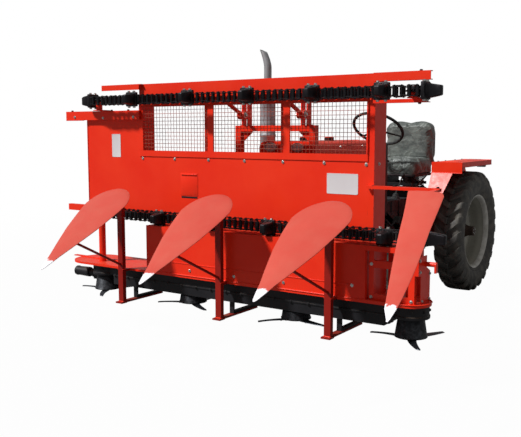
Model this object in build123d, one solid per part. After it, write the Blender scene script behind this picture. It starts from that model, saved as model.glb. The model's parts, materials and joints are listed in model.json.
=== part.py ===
from build123d import *
import math
import os

os.makedirs("parts", exist_ok=True)

# Four-row maize harvester header carried on the front of a small tractor. Millimetres.
# The machine faces -Y, +X is its left side, the ground is Z = 0 and the origin lies
# on the ground at the middle of the machine's length and width.

# Lengthways places
REAR_AXLE_Y = 1400.0
FRONT_AXLE_Y = -130.0
PORTAL_Y = -800.0
PANEL_Y = -1300.0
SKIRT_Y = -1480.0
POST_Y = -1550.0
TIP_Y = -2237.5
CUTTER_Y = -1350.0
CHAIN_Y = -1375.0
BOX_BACK_Y = -1150.0
REAR_END_Y = 2240.0

# Header heights
SKID_Z = 255.0
BELL_Z = 288.0
CASE_Z = 348.0
HOUSE_Z = 398.0
DECK_Z = 470.0
DECK_TOP = DECK_Z + 15
TABLE_Z = 790.0
PANEL_Z = 850.0
LOWER_CHAIN_Z = 838.0
SILL_Z = 1280.0
LINTEL_Z = 1575.0
UPPER_CHAIN_Z = 1622.0
CROSS_Z = 1190.0
RAIL_Z = 1490.0
TOP_Z = 1730.0

# Header widths
PANEL_LEFT = -1325.0
FRAME_LEFT = -810.0
POST_IN = 930.0
POST_OUT = 968.0
RAIL_LEFT = -1512.0
POST_XS = (-775.0, 50.0, 815.0)
TIP_Z = 590.0
LEAF_SLOPE = 33.0
END_SLOPE = 38.0
TIP_XS = (-745.0, 45.0, 790.0)
LEANS = (0.0, 35.0, 75.0)
LEAF_LENGTH = 806.0
END_TIP_X = 1490.0
CUTTER_XS = (-1100.0, -310.0, 490.0, 1230.0)
SPROCKET_XS = (-1120.0, 1230.0)
CASE_LEFT = -950.0
CASE_RIGHT = 1110.0
DECK_END_X = 1225.0
DECK_END_R = 118.0
TABLE_RIGHT = 1290.0
SHEET = 3.0

# Links between the tractor's portal and the header
LINK_LENGTH = 260.0
LINK_RISE = 25.0
LINK_Y = -880.0
LOW_PIVOT_Z = 620.0
TOP_PIVOT_Z = 1520.0
PORTAL_TOP = TOP_PIVOT_Z - 70
LOW_LINK_X = 300.0
TOP_LINK_X = 240.0
PIN_R = 12.0
CYL_FOOT_Y = -890.0
CYL_EYE_Z = 900.0
CYL_BARREL = 262.0
EYE_SETBACK = 12.0
SHAFT_R = 25.0

# Exhaust pipe
EXHAUST_TOP = 2010.0

# Steering wheel
WHEEL_CENTRE = Vector(0, 790, 1432)
WHEEL_TILT = Vector(0, 205, 270).normalized()

# Wheels
REAR_R = 530.0
REAR_W = 250.0
REAR_X = 588.0
REAR_RIM_R = 312.0
REAR_LUG = 27.0
REAR_LUGS = 24
REAR_LUG_W = 58.0
AXLE_END_X = REAR_X - 135
FENDER_IN = REAR_X - REAR_W / 2 - 23
FENDER_OUT = REAR_X + REAR_W / 2 - 9
FRONT_R = 345.0
FRONT_W = 130.0
FRONT_X = 520.0
FRONT_RIM_R = 190.0
KINGPIN_X = FRONT_X - 120
BALL_X = 330.0
BALL_DROP = 30.0

# Tractor heights that follow the front wheel
BEAM_Z = FRONT_R + 60
SUMP_Z = FRONT_R + 125
FRAME_Z = FRONT_R + 135
FRAME_TOP = FRAME_Z + 60
ENGINE_Z = FRAME_Z + 80
BOARD_Z = FRAME_Z + 65
CYL_FOOT_Z = FRAME_Z


def bx(x0, x1, y0, y1, z0, z1):
    """Box between two corners."""
    return Pos((x0 + x1) / 2, (y0 + y1) / 2, (z0 + z1) / 2) * Box(x1 - x0, y1 - y0, z1 - z0)


def tube(x0, x1, y0, y1, z0, z1, wall=4.0, along="Z"):
    """Rectangular tube, open at both ends of its run."""
    gap = {"X": (0, wall, wall), "Y": (wall, 0, wall), "Z": (wall, wall, 0)}[along]
    inner = bx(x0 + gap[0], x1 - gap[0], y0 + gap[1], y1 - gap[1], z0 + gap[2], z1 - gap[2])
    return bx(x0, x1, y0, y1, z0, z1) - inner


def rod(p, q, r, bore=0.0):
    """Round bar or tube from point p to point q."""
    run = Vector(*q) - Vector(*p)
    plane = Plane(origin=p, z_dir=run)
    bar = extrude(plane * Circle(r), run.length)
    if bore:
        bar -= extrude(plane * Circle(bore), run.length)
    return bar


def across(x0, x1, y, z, r, bore=0.0):
    """Round bar along X."""
    return rod((x0, y, z), (x1, y, z), r, bore)


def upright(x, y, z0, z1, r, bore=0.0):
    """Round bar along Z."""
    return rod((x, y, z0), (x, y, z1), r, bore)


def plate_yz(points, x0, x1):
    """Flat plate with a side outline of (y, z) points, from x0 to x1."""
    face = Plane.YZ * make_face(Polyline(*points, close=True))
    return Pos(x0, 0, 0) * extrude(face, x1 - x0)


def both(solid):
    """A solid and its mirror image on the other side of the centre line."""
    return solid + mirror(solid, Plane.YZ)


def joined(solids):
    total = solids[0]
    for solid in solids[1:]:
        total += solid
    return total


def save(name, *solids):
    shape = joined(list(solids))
    shape.label = name
    export_step(shape, f"parts/{name}.step")
    return shape


# Header: sheet panel, window and top cover

def header_panel():
    left = bx(PANEL_LEFT, FRAME_LEFT, PANEL_Y, PANEL_Y + SHEET, PANEL_Z, RAIL_Z)
    middle = bx(FRAME_LEFT, POST_IN, PANEL_Y, PANEL_Y + SHEET, PANEL_Z, SILL_Z - 10)
    side = bx(PANEL_LEFT, PANEL_LEFT + SHEET, PANEL_Y, PANEL_Y + 30, PANEL_Z, RAIL_Z)
    foot = bx(PANEL_LEFT, POST_IN, PANEL_Y, PANEL_Y + 30, PANEL_Z, PANEL_Z + SHEET)
    return save("header_panel", left, middle, side, foot)


def window_frame():
    front, back = PANEL_Y - 6, PANEL_Y
    sill = bx(FRAME_LEFT, POST_IN, front, back, SILL_Z - 40, SILL_Z)
    lintel = bx(FRAME_LEFT, POST_IN, front, back, LINTEL_Z, LINTEL_Z + 25)
    left = bx(FRAME_LEFT, FRAME_LEFT + 35, front, back, SILL_Z, LINTEL_Z)
    right = bx(POST_IN - 10, POST_IN, front, back, SILL_Z, LINTEL_Z)
    bars = [bx(x - 22, x + 22, front, back, SILL_Z, LINTEL_Z) for x in (-190, 388)]
    return save("window_frame", sill, lintel, left, right, *bars)


def window_mesh():
    pitch, wire = 25.0, 3.0
    x0, x1 = FRAME_LEFT + 30, POST_IN - 5
    z0, z1 = SILL_Z - 8, LINTEL_Z + 8
    solids = []
    for i in range(1, int((x1 - x0) / pitch) + 1):
        x = x0 + i * pitch
        solids.append(bx(x - wire / 2, x + wire / 2, PANEL_Y, PANEL_Y + wire, z0, z1))
    for i in range(int((z1 - z0) / pitch) + 1):
        z = z0 + 6 + i * pitch
        if z < z1:
            solids.append(bx(x0, x1, PANEL_Y + wire, PANEL_Y + 2 * wire, z - wire / 2, z + wire / 2))
    shape = Compound(children=solids)
    shape.label = "window_mesh"
    export_step(shape, "parts/window_mesh.step")
    return shape


def top_cover():
    front = bx(FRAME_LEFT, POST_IN, PANEL_Y, PANEL_Y + SHEET, LINTEL_Z + 25, TOP_Z)
    roof = bx(FRAME_LEFT, POST_IN, PANEL_Y, BOX_BACK_Y, TOP_Z - SHEET, TOP_Z)
    back = bx(FRAME_LEFT, POST_IN, BOX_BACK_Y - SHEET, BOX_BACK_Y, TOP_Z - 30, TOP_Z)
    left_strip = bx(-1140, FRAME_LEFT, PANEL_Y - 30, PANEL_Y, TOP_Z - 5, TOP_Z)
    left_lip = bx(-1140, FRAME_LEFT + 25, PANEL_Y - 30, PANEL_Y - 26, TOP_Z - 38, TOP_Z)
    left_tie = bx(FRAME_LEFT - 5, FRAME_LEFT + 40, PANEL_Y - 30, PANEL_Y, TOP_Z - 5, TOP_Z)
    return save("top_cover", front, roof, back, left_strip, left_lip, left_tie)


def side_posts():
    right = tube(POST_IN, POST_OUT, PANEL_Y, BOX_BACK_Y, DECK_TOP, TOP_Z)
    y0, y1 = PANEL_Y + SHEET, BOX_BACK_Y - SHEET
    left = bx(FRAME_LEFT, FRAME_LEFT + 4, y0, y1, PANEL_Z + SHEET, TOP_Z - SHEET)
    left -= bx(FRAME_LEFT - 1, FRAME_LEFT + 5, PANEL_Y, PANEL_Y + 105, CROSS_Z - 2, CROSS_Z + 42)
    z0, z1, tip_x = 1088, 1106, 1365
    arm = tube(POST_OUT, tip_x, PANEL_Y - 30, PANEL_Y, z0, z1, 3, "X")
    arm_root = bx(POST_IN + 4, POST_OUT, PANEL_Y - 30, PANEL_Y, z0, z1)
    y0, y1, y2 = -1700, -1605, PANEL_Y - 30
    under = [(y, leaf_z(y, END_SLOPE) - 0.4) for y in (y0, y1)]
    nose = plate_yz(under + [(y2, z1 - 4), (y2, z0), (y1, 1064), (y0, under[0][1] - 12)], tip_x - 30, tip_x)
    return save("side_posts", right, left, arm, arm_root, nose)


def leaf_z(y, slope):
    """Height of a divider sheet's lower face at y."""
    return TIP_Z + (y - TIP_Y) * math.tan(math.radians(slope))


def rail(x0, x1, z0, z1):
    """C-shaped rail in front of the panel, closed at the front."""
    y0, y1 = PANEL_Y - 30, PANEL_Y
    return bx(x0, x1, y0, y1, z0, z1) - bx(x0 - 1, x1 + 1, y0 + 4, y1 + 1, z0 + 4, z1 - 4)


def header_rails():
    upper_left = rail(RAIL_LEFT, FRAME_LEFT + 22, RAIL_Z, RAIL_Z + 63)
    upper_left -= bx(FRAME_LEFT, FRAME_LEFT + 23, PANEL_Y - 6, PANEL_Y, RAIL_Z - 1, RAIL_Z + 64)
    lower_left = rail(RAIL_LEFT, -1240, 830, 875)
    upper_right = rail(POST_OUT, 1300, TOP_Z - 48, TOP_Z)
    middle_right = rail(POST_OUT, 1290, LINTEL_Z - 12, LINTEL_Z + 8)
    return save("header_rails", upper_left, lower_left, upper_right, middle_right)


def header_frame(avoid):
    y0, y1 = BOX_BACK_Y - 50, BOX_BACK_Y
    mast = tube(280, 320, y0, y1, DECK_TOP, TOP_Z - SHEET)
    masts = both(mast)
    cross = [
        tube(PANEL_LEFT + SHEET, POST_IN, PANEL_Y + SHEET, y0, CROSS_Z, CROSS_Z + 40, 3, "X"),
        tube(PANEL_LEFT + SHEET, POST_IN, PANEL_Y + 30, y0, 857, 897, 3, "X"),
        tube(FRAME_LEFT + 4, POST_IN, PANEL_Y + SHEET, y0, TOP_Z - 45, TOP_Z - SHEET, 3, "X"),
        tube(-280, 280, y0, y1, 1610, 1650, 3, "X"),
        tube(-280, 280, y0, y1, 712, 752, 3, "X"),
        tube(-280, 280, y0, y1 - EYE_SETBACK, CYL_EYE_Z - 30, CYL_EYE_Z + 30, 3, "X"),
    ]
    low_y, low_z = header_pivot(LOW_PIVOT_Z)
    top_y, top_z = header_pivot(TOP_PIVOT_Z)
    lugs = clevis(LOW_LINK_X, y1, low_y, low_z) + clevis(TOP_LINK_X, y1, top_y, top_z)
    cheeks = clevis(0, y1 - EYE_SETBACK, low_y, CYL_EYE_Z)
    shape = joined([masts] + cross + [both(lugs), cheeks])
    return save("header_frame", shape - avoid)


def header_pivot(z):
    """Side position of a header pin, from the portal pin at height z."""
    rise = math.radians(LINK_RISE)
    return LINK_Y - LINK_LENGTH * math.cos(rise), z + LINK_LENGTH * math.sin(rise)


def clevis(x, y_root, y_pin, z_pin):
    """Two cheeks that stand out from y_root, with their pin."""
    y0, y1 = sorted((y_root, y_pin))
    total = across(x - 30, x + 30, y_pin, z_pin, PIN_R)
    for side in (-1, 1):
        x0, x1 = sorted((x + side * 19, x + side * 27))
        total += bx(x0, x1, y0, y1, z_pin - 28, z_pin + 28)
        total += across(x0, x1, y_pin, z_pin, 28)
    return total


# Finger chains

def stadium(x0, x1, y, r, z0, z1):
    """Band of chain round two sprockets, with radius r to its middle."""
    def ring(offset):
        body = bx(x0, x1, y - r - offset, y + r + offset, z0, z1)
        return body + upright(x0, y, z0, z1, r + offset) + upright(x1, y, z0, z1, r + offset)
    return ring(8) - ring(-8)


def finger(x, y, z, turn, reach=92.0):
    """Tapered pushing finger that leaves the chain at a turn in degrees, 0 along -Y."""
    root = Plane.XZ * Rectangle(84, 84)
    tip = Plane.XZ.offset(reach) * Pos(8, 0) * Rectangle(34, 56)
    return Pos(x, y, z) * Rot(0, 0, turn) * loft([root, tip])


def finger_chain(name, z, front_xs, left_end, right_end, end_reach):
    r, half = 50.0, 30.0
    x0, x1 = left_end, right_end
    band = stadium(x0, x1, CHAIN_Y, r, z - half, z + half)
    front = CHAIN_Y - r - 8
    fingers = [finger(x, front, z, 0) for x in front_xs]
    fingers.append(finger(x0 - r - 8, CHAIN_Y, z, -90))
    fingers.append(finger(x1 + r + 8, CHAIN_Y, z, 90, end_reach))
    wheels = [upright(x, CHAIN_Y, z - 8, z + 8, r - 8) for x in (x0, x1)]
    return save(name, band, *fingers, *wheels)


def chain_shafts():
    left, right = SPROCKET_XS
    low, high = LOWER_CHAIN_Z - 8, UPPER_CHAIN_Z - 8
    solids = [upright(x, CHAIN_Y, DECK_TOP, low, 24) for x in (left, right)]
    for x, z in ((left, RAIL_Z + 63), (right, LINTEL_Z + 8)):
        solids.append(bx(x - 30, x + 30, CHAIN_Y - 30, PANEL_Y, z, z + 6))
        solids.append(upright(x, CHAIN_Y, z + 6, high, 22))
    return save("chain_shafts", *solids)


# Lower header: deck, skirt, posts and gear case

def deck():
    left = bx(-1100, 0, SKIRT_Y, -1130, DECK_Z, DECK_TOP)
    left += upright(-1230, -1305, DECK_Z, DECK_TOP, 175) & bx(-1410, -1000, -1480, -1130, 400, 600)
    left += bx(-1230, -1100, SKIRT_Y, -1130, DECK_Z, DECK_TOP)
    right = bx(0, DECK_END_X, SKIRT_Y, -1130, DECK_Z, DECK_TOP)
    right += upright(DECK_END_X, SKIRT_Y + DECK_END_R, DECK_Z, DECK_TOP, DECK_END_R)
    outer = bx(-1480, -1000, -1320, -1290, DECK_TOP, DECK_Z + 21)
    return save("deck", left, right, outer)


def skirt(avoid):
    z0, z1 = DECK_TOP, TABLE_Z
    front = bx(-600, 1010, SKIRT_Y, SKIRT_Y + SHEET, z0, z1)
    table = bx(-600, TABLE_RIGHT, SKIRT_Y, BOX_BACK_Y - 50, z1 - SHEET, z1)
    flange = bx(1010, TABLE_RIGHT, SKIRT_Y, SKIRT_Y + SHEET, z1 - 28, z1)
    left = bx(-600, -597, SKIRT_Y, BOX_BACK_Y - 50, z0, z1)
    right = bx(1007, 1010, SKIRT_Y, BOX_BACK_Y - 50, z0, z1)
    riser = bx(-600, POST_IN, PANEL_Y, PANEL_Y + SHEET, z1, PANEL_Z)
    return save("skirt", joined([front, table, flange, left, right, riser]) - avoid)


def right_end_frame():
    z0, z1 = DECK_TOP, TABLE_Z - SHEET
    left_x, right_x, y0 = DECK_END_X - 205, DECK_END_X + 28, SKIRT_Y + 25
    solids = []
    for x, w, y in ((left_x, 30, y0), (right_x, 35, y0), (left_x, 30, -1200), (right_x - 60, 30, -1200)):
        solids.append(bx(x, x + w, y, y + 30, z0, z1))
    for low, high in ((z1 - 119, z1 - 80), (z0, z0 + 35)):
        solids.append(bx(left_x + 30, right_x, y0, y0 + 30, low, high))
    x1 = right_x + 52
    solids.append(bx(right_x - 12, x1, y0, y0 + 4, z1 - 142, z1 - 42))
    outline = [(y0, z1 - 142), (y0 + 35, z1 - 147), (y0 + 35, z0), (y0 + 165, z0), (y0 + 165, z1 - 132),
               (y0 + 115, z1 - 107), (y0 + 115, z1 - 42), (y0, z1 - 42)]
    solids.append(plate_yz(outline, x1, x1 + 4))
    stub = across(x1 + 4, x1 + 68, y0 + 95, z1 - 87, 13)
    hook = bx(x1 + 58, x1 + 68, y0 + 82, y0 + 108, z1 - 132, z1 - 87)
    return save("right_end_frame", *solids, stub, hook)


def skid_posts():
    """Post with its skid for each leaf, and a tab that reaches from the post to the leaf's underside."""
    solids = []
    top_y = TIP_Y + (LEAF_LENGTH - 5) * math.cos(math.radians(LEAF_SLOPE))
    low_y = top_y - 70
    top_z, low_z = (leaf_z(y, LEAF_SLOPE) - 0.4 for y in (top_y, low_y))
    tab = [(low_y, low_z), (top_y, top_z), (POST_Y, top_z - 4), (POST_Y, top_z - 34), (low_y, low_z - 6)]
    for x, tip_x in zip(POST_XS, TIP_XS):
        x0, x1 = x - 21, x + 21
        solids.append(bx(x0, x1, POST_Y, POST_Y + 30, SKID_Z, top_z - 4))
        solids.append(plate_yz(tab, x0, x1))
        solids.append(bx(x0, x1, POST_Y + 30, SKIRT_Y, DECK_Z, DECK_TOP))
        solids.append(bx(x0 - 8, x1 + 8, POST_Y - 22, POST_Y + 30, SKID_Z, SKID_Z + 10))
        solids.append(bx(x0, x1, POST_Y + 30, -1150, SKID_Z, SKID_Z + 12))
        solids.append(rod((x, POST_Y + 8, 515), (tip_x + 60, TIP_Y + 222, 728), 8))
    return save("skid_posts", *solids)


def skid_brackets():
    solids = []
    for x in POST_XS:
        x0, x1, z = x - 15, x + 15, SKID_Z + 12
        solids.append(bx(x0, x1, -1410, -1396, z, CASE_Z))
        solids.append(bx(x0, x1, -1150, -1136, z, DECK_Z))
        solids.append(bx(x0, x1, -1396, -1150, z, z + 14))
    return save("skid_brackets", *solids)


def gear_case():
    """Long case with the line shaft over the middle cutters and a round housing over each end one."""
    y0, y1 = CUTTER_Y - 90, BOX_BACK_Y - 15
    case = bx(CASE_LEFT, CASE_RIGHT, y0, y1, CASE_Z, DECK_Z)
    for x in CUTTER_XS[1:3]:
        case -= upright(x, CUTTER_Y, CASE_Z - 8, DECK_Z - 28, SHAFT_R + 0.3)
    solids = [case]
    for x, side_x in ((CUTTER_XS[0], CASE_LEFT), (CUTTER_XS[3], CASE_RIGHT)):
        neck = bx(*sorted((x, side_x)), CUTTER_Y - 60, CUTTER_Y + 60, HOUSE_Z + 7, DECK_Z)
        house = upright(x, CUTTER_Y, HOUSE_Z, DECK_Z, 98) + neck
        solids.append(house - upright(x, CUTTER_Y, HOUSE_Z - 8, DECK_Z - 28, SHAFT_R + 0.3))
    solids.append(bx(-1160, CASE_LEFT, y1 - 85, y1, CASE_Z + 2, 405))
    bearing = bx(-1262, -1205, -1335, -1265, 335, DECK_Z)
    shaft = across(-1330, -1205, -1300, 372, 20) + across(-1464, -1330, -1300, 372, 33)
    return save("gear_case", *solids, bearing, shaft)


def cutter(name, x, turn, roof_z):
    """Bell with three curved blades, turning under the case at roof_z."""
    z0, z1 = BELL_Z, roof_z - 6
    top_r = 90 - (z1 - z0) * 0.15
    bell = Pos(x, CUTTER_Y, (z0 + z1) / 2) * Cone(90, top_r, z1 - z0)
    shaft = upright(x, CUTTER_Y, z1, DECK_Z - 30, SHAFT_R)
    blades = []
    for i in range(3):
        outline = Polyline((60, -22), (140, -26), (236, 8), (228, 22), (138, 14), (60, 22), close=True)
        blade = extrude(Plane.XY * make_face(outline), 8)
        blades.append(Pos(x, CUTTER_Y, z0 - 8) * Rot(0, 0, turn + i * 120) * blade)
    return save(name, bell, shaft, *blades)


def leaf(x, slope, outline):
    """Flat divider sheet that rises from its tip, outline in (across, along) points."""
    plane = Plane(origin=(x, TIP_Y, TIP_Z), x_dir=(1, 0, 0),
                  z_dir=(0, -math.sin(math.radians(slope)), math.cos(math.radians(slope))))
    return extrude(plane * make_face(outline), 4)


def leaned(a, b, lean):
    """Point of a leaf's outline, moved sideways by its height so that the leaf leans."""
    return a + lean * b / LEAF_LENGTH, b


def dividers():
    top = LEAF_LENGTH - 106
    half = [(45, 125), (130, 380), (172, 590), (172, top)]
    sheets = []
    for x, lean in zip(TIP_XS, LEANS):
        right = [leaned(a, b, lean) for a, b in half]
        left = [leaned(-a, b, lean) for a, b in reversed(half)]
        arc = ThreePointArc(*(leaned(a, b, lean) for a, b in ((172, top), (0, LEAF_LENGTH), (-172, top))))
        sheets.append(leaf(x, LEAF_SLOPE, Polyline(*left, (0, 0), *right) + arc))
    end = Polyline((0, 0), (20, 130), (22, 340), (8, 560), (2, 818), (-30, 838), (-198, 838),
                   (-176, 740), (-130, 490), (-85, 270), (-40, 70), close=True)
    sheets.append(leaf(END_TIP_X, END_SLOPE, end))
    return save("dividers", *sheets)


# Links and lift cylinder

def link(x, z_pivot, open_bore):
    y1, z1 = header_pivot(z_pivot)
    bar = rod((x, LINK_Y, z_pivot), (x, y1, z1), 14)
    ends = across(x - 16, x + 16, LINK_Y, z_pivot, 24) + across(x - 16, x + 16, y1, z1, 24)
    bores = across(x - 17, x + 17, LINK_Y, z_pivot, PIN_R + 0.3)
    bores += across(x - 17, x + 17, y1, z1, open_bore)
    return bar + ends - bores


def lower_links():
    return save("lower_links", both(link(LOW_LINK_X, LOW_PIVOT_Z, PIN_R + 0.3)))


def upper_links():
    return save("upper_links", both(link(TOP_LINK_X, TOP_PIVOT_Z, PIN_R + 1)))


def cylinder_run():
    """Foot pin, header pin and unit vector of the lift cylinder, in the plane X = 0."""
    foot = Vector(0, CYL_FOOT_Y, CYL_FOOT_Z)
    eye = Vector(0, header_pivot(LOW_PIVOT_Z)[0], CYL_EYE_Z)
    return foot, eye, (eye - foot).normalized()


def lift_barrel():
    foot, _, along = cylinder_run()
    tail = across(-14, 14, foot.Y, foot.Z, 24)
    neck = rod(tuple(foot), tuple(foot + along * 45), 14)
    barrel = rod(tuple(foot + along * 40), tuple(foot + along * CYL_BARREL), 30)
    inside = rod(tuple(foot + along * 55), tuple(foot + along * (CYL_BARREL + 1)), 16.3)
    bore = across(-15, 15, foot.Y, foot.Z, PIN_R + 0.3)
    return save("lift_barrel", tail + neck + barrel - inside - bore)


def lift_rod():
    foot, eye, along = cylinder_run()
    bar = rod(tuple(foot + along * (CYL_BARREL - 34)), tuple(eye), 16)
    head = across(-14, 14, eye.Y, eye.Z, 32)
    return save("lift_rod", bar + head - across(-20, 20, eye.Y, eye.Z, 22))


# Tractor

def portal_frame():
    y0, y1 = PORTAL_Y - 50, PORTAL_Y
    post = tube(278, 322, y0, y1, FRAME_Z, PORTAL_TOP)
    cross = tube(-278, 278, y0, y1, PORTAL_TOP - 40, PORTAL_TOP, 4, "X")
    foot = tube(-278, 278, y0, y1, FRAME_Z, FRAME_TOP, 4, "X")
    solids = [both(post), cross, foot]
    for z, x in ((LOW_PIVOT_Z, LOW_LINK_X), (TOP_PIVOT_Z, TOP_LINK_X)):
        solids.append(both(clevis(x, y0, LINK_Y, z)))
    plates = [bx(TOP_LINK_X + a, TOP_LINK_X + a + 8, y0, y1, PORTAL_TOP, PORTAL_TOP + 150)
              for a in (-27, 19)]
    solids.append(both(joined(plates)))
    solids.append(clevis(0, y0, CYL_FOOT_Y, CYL_FOOT_Z))
    rails = tube(195, 250, y1, REAR_AXLE_Y, FRAME_Z, FRAME_TOP, 4, "Y")
    rails += bx(120, 195, FRONT_AXLE_Y - 30, FRONT_AXLE_Y + 50, FRAME_Z, FRAME_TOP)
    solids.append(both(rails - across(0, 500, REAR_AXLE_Y, REAR_R, 85)))
    return save("portal_frame", *solids)


def engine_block():
    block = bx(-160, 160, -560, 330, ENGINE_Z, 1050)
    sump = bx(-120, 120, -520, 300, SUMP_Z, ENGINE_Z)
    support = bx(-120, 120, -700, FRONT_AXLE_Y + 70, SUMP_Z, ENGINE_Z)
    rad = bx(-200, 200, -690, -580, 620, 1250)
    return save("engine_block", block, sump, support, rad, bx(-150, 150, -580, -560, 620, 900))


def transmission():
    bell = bx(-170, 170, 330, 480, 470, 810)
    back = REAR_AXLE_Y + 160
    case = bx(-140, 140, 480, back - 310, 430, 820)
    diff = bx(-180, 180, back - 310, back, 380, 820)
    axle = across(-AXLE_END_X, AXLE_END_X, REAR_AXLE_Y, REAR_R, 85)
    flange = both(across(AXLE_END_X, AXLE_END_X + 12, REAR_AXLE_Y, REAR_R, 105))
    pto = rod((0, back, 600), (0, back + 80, 600), 17.5)
    return save("transmission", bell, case, diff, axle, flange, pto)


def front_axle():
    z0, z1 = BEAM_Z, BEAM_Z + 60
    beam = bx(35 - KINGPIN_X, KINGPIN_X - 35, FRONT_AXLE_Y - 40, FRONT_AXLE_Y + 40, z0, z1)
    pivot = rod((0, FRONT_AXLE_Y - 90, z0 + 25), (0, FRONT_AXLE_Y + 90, z0 + 25), 38)
    cheeks = [bx(-60, 60, FRONT_AXLE_Y + a, FRONT_AXLE_Y + a + 20, z0 - 20, SUMP_Z) for a in (-80, 60)]
    ends = both(upright(KINGPIN_X, FRONT_AXLE_Y, z0 - 5, z1, 38))
    bore = both(upright(KINGPIN_X, FRONT_AXLE_Y, z0 - 25, z1 + 5, 17.3))
    return save("front_axle", joined([beam, pivot, ends] + cheeks) - bore)


def knuckle(name, side):
    low, top = FRONT_R - 30, BEAM_Z + 60
    pin = upright(side * KINGPIN_X, FRONT_AXLE_Y, low, top + 20, 17)
    head = upright(side * KINGPIN_X, FRONT_AXLE_Y, top + 0.4, top + 15, 30)
    foot = upright(side * KINGPIN_X, FRONT_AXLE_Y, low, BEAM_Z - 5.4, 36)
    x0, x1 = sorted((side * (KINGPIN_X + 20), side * (FRONT_X - 12)))
    spindle = across(x0, x1, FRONT_AXLE_Y, FRONT_R, 18)
    return save(name, pin, head, foot, spindle)


def wheel_tyre(name, x, y, r, width, rim_r, lug_h, lugs, lug_w):
    crown = r - lug_h
    half = width / 2
    profile = Polyline((rim_r, -half * 0.72), (rim_r + 12, -half * 0.72), (crown * 0.82, -half),
                       (crown * 0.94, -half * 0.94), (crown, -half * 0.72), (crown, half * 0.72),
                       (crown * 0.94, half * 0.94), (crown * 0.82, half), (rim_r + 12, half * 0.72),
                       (rim_r, half * 0.72), close=True)
    ring = revolve(Plane.XY * make_face(profile), Axis.Y)
    solids = [ring]
    for i in range(lugs):
        for side in (-1, 1):
            bar = Pos(crown + lug_h / 2 - 4, side * half * 0.46, 0) * Rot(side * 40, 0, 0)
            bar = bar * Box(lug_h + 8, width * 0.66, lug_w)
            solids.append(Rot(0, (i + 0.5 * (side > 0)) * 360 / lugs, 0) * bar)
    cut = revolve(Plane.XY * Pos(r / 2, 0) * Rectangle(r, width), Axis.Y)
    shape = joined(solids) & cut if lugs else ring
    shape = Pos(x, y, r) * Rot(0, 0, 90) * shape
    return save(name, shape)


def wheel_rim(name, x, y, z, rim_r, width, disc_x, hub_x, hub_r, bore_r, side):
    barrel = rod((x - width * 0.36, y, z), (x + width * 0.36, y, z), rim_r, rim_r - 8)
    lips = [rod((x + a, y, z), (x + a + 8, y, z), rim_r + 12, rim_r - 8)
            for a in (-width * 0.36 - 8, width * 0.36)]
    x0, x1 = sorted((disc_x, disc_x + side * 10))
    disc = across(x0, x1, y, z, rim_r - 7)
    hub = across(*sorted((side * hub_x, disc_x + side * 45)), y, z, hub_r)
    shape = joined([barrel, *lips, disc, hub])
    if bore_r:
        shape -= across(*sorted((side * hub_x, disc_x)), y, z, bore_r)
    return save(name, shape)


def hood():
    x, y0, y1, z0, z1 = 220.0, -700.0, 420.0, 820.0, 1340.0
    outer = bx(-x, x, y0, y1, z0, z1)
    outer = fillet(outer.edges().filter_by(Axis.Y).group_by(Axis.Z)[-1], 50)
    inner = bx(-x + 3, x - 3, y0 + 4, y1 - 3, z0 - 1, z1 - 4)
    inner = fillet(inner.edges().filter_by(Axis.Y).group_by(Axis.Z)[-1], 46)
    shell = outer - inner - across(-300, -160, -470, 1010, 24)
    caps = [upright(40, -520, z1, z1 + 30, 26), upright(60, -180, z1, z1 + 28, 32)]
    return save("hood", shell, *caps)


def dash_column():
    cowl = bx(-200, 200, 420, 560, 820, 1300)
    column = rod((0, 560, 1130), tuple(WHEEL_CENTRE - WHEEL_TILT * 30.3), 24)
    return save("dash_column", cowl, column - cowl)


def steering_wheel():
    plane = Plane(origin=WHEEL_CENTRE, z_dir=WHEEL_TILT, x_dir=(1, 0, 0))
    rim = plane * Torus(215, 13)
    hub = extrude(plane * Circle(38), 30, both=True)
    spokes = []
    for i in range(3):
        bar = Rot(0, 0, 90 + i * 120) * (Pos(120, 0, 0) * Box(170, 22, 8))
        spokes.append(plane * bar)
    return save("steering_wheel", rim, hub, *spokes)


def seat_frame():
    pedestal = bx(-110, 110, 1190, 1400, 820, 900)
    pan = bx(-220, 220, 1090, 1480, 1010, 1030)
    ribs = [bx(x - 8, x + 8, 1120, 1460, 900, 1010) for x in (-100, 100)]
    bars = [bx(-180, 180, y, y + 25, 930, 955) for y in (1110, 1440)]
    shelf = bx(-180, 180, 1110, 1465, 890, 900)
    return save("seat_frame", pedestal, pan, shelf, *ribs, *bars)


def seat_cushion():
    base = bx(-240, 240, 1070, 1500, 1030, 1150)
    base = fillet(base.edges().filter_by(Axis.Z), 50)
    back = bx(-236, 236, 1440, 1560, 1100, 1505)
    back = fillet(back.edges().filter_by(Axis.Y).group_by(Axis.Z)[-1], 90)
    return save("seat_cushion", base, back)


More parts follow.
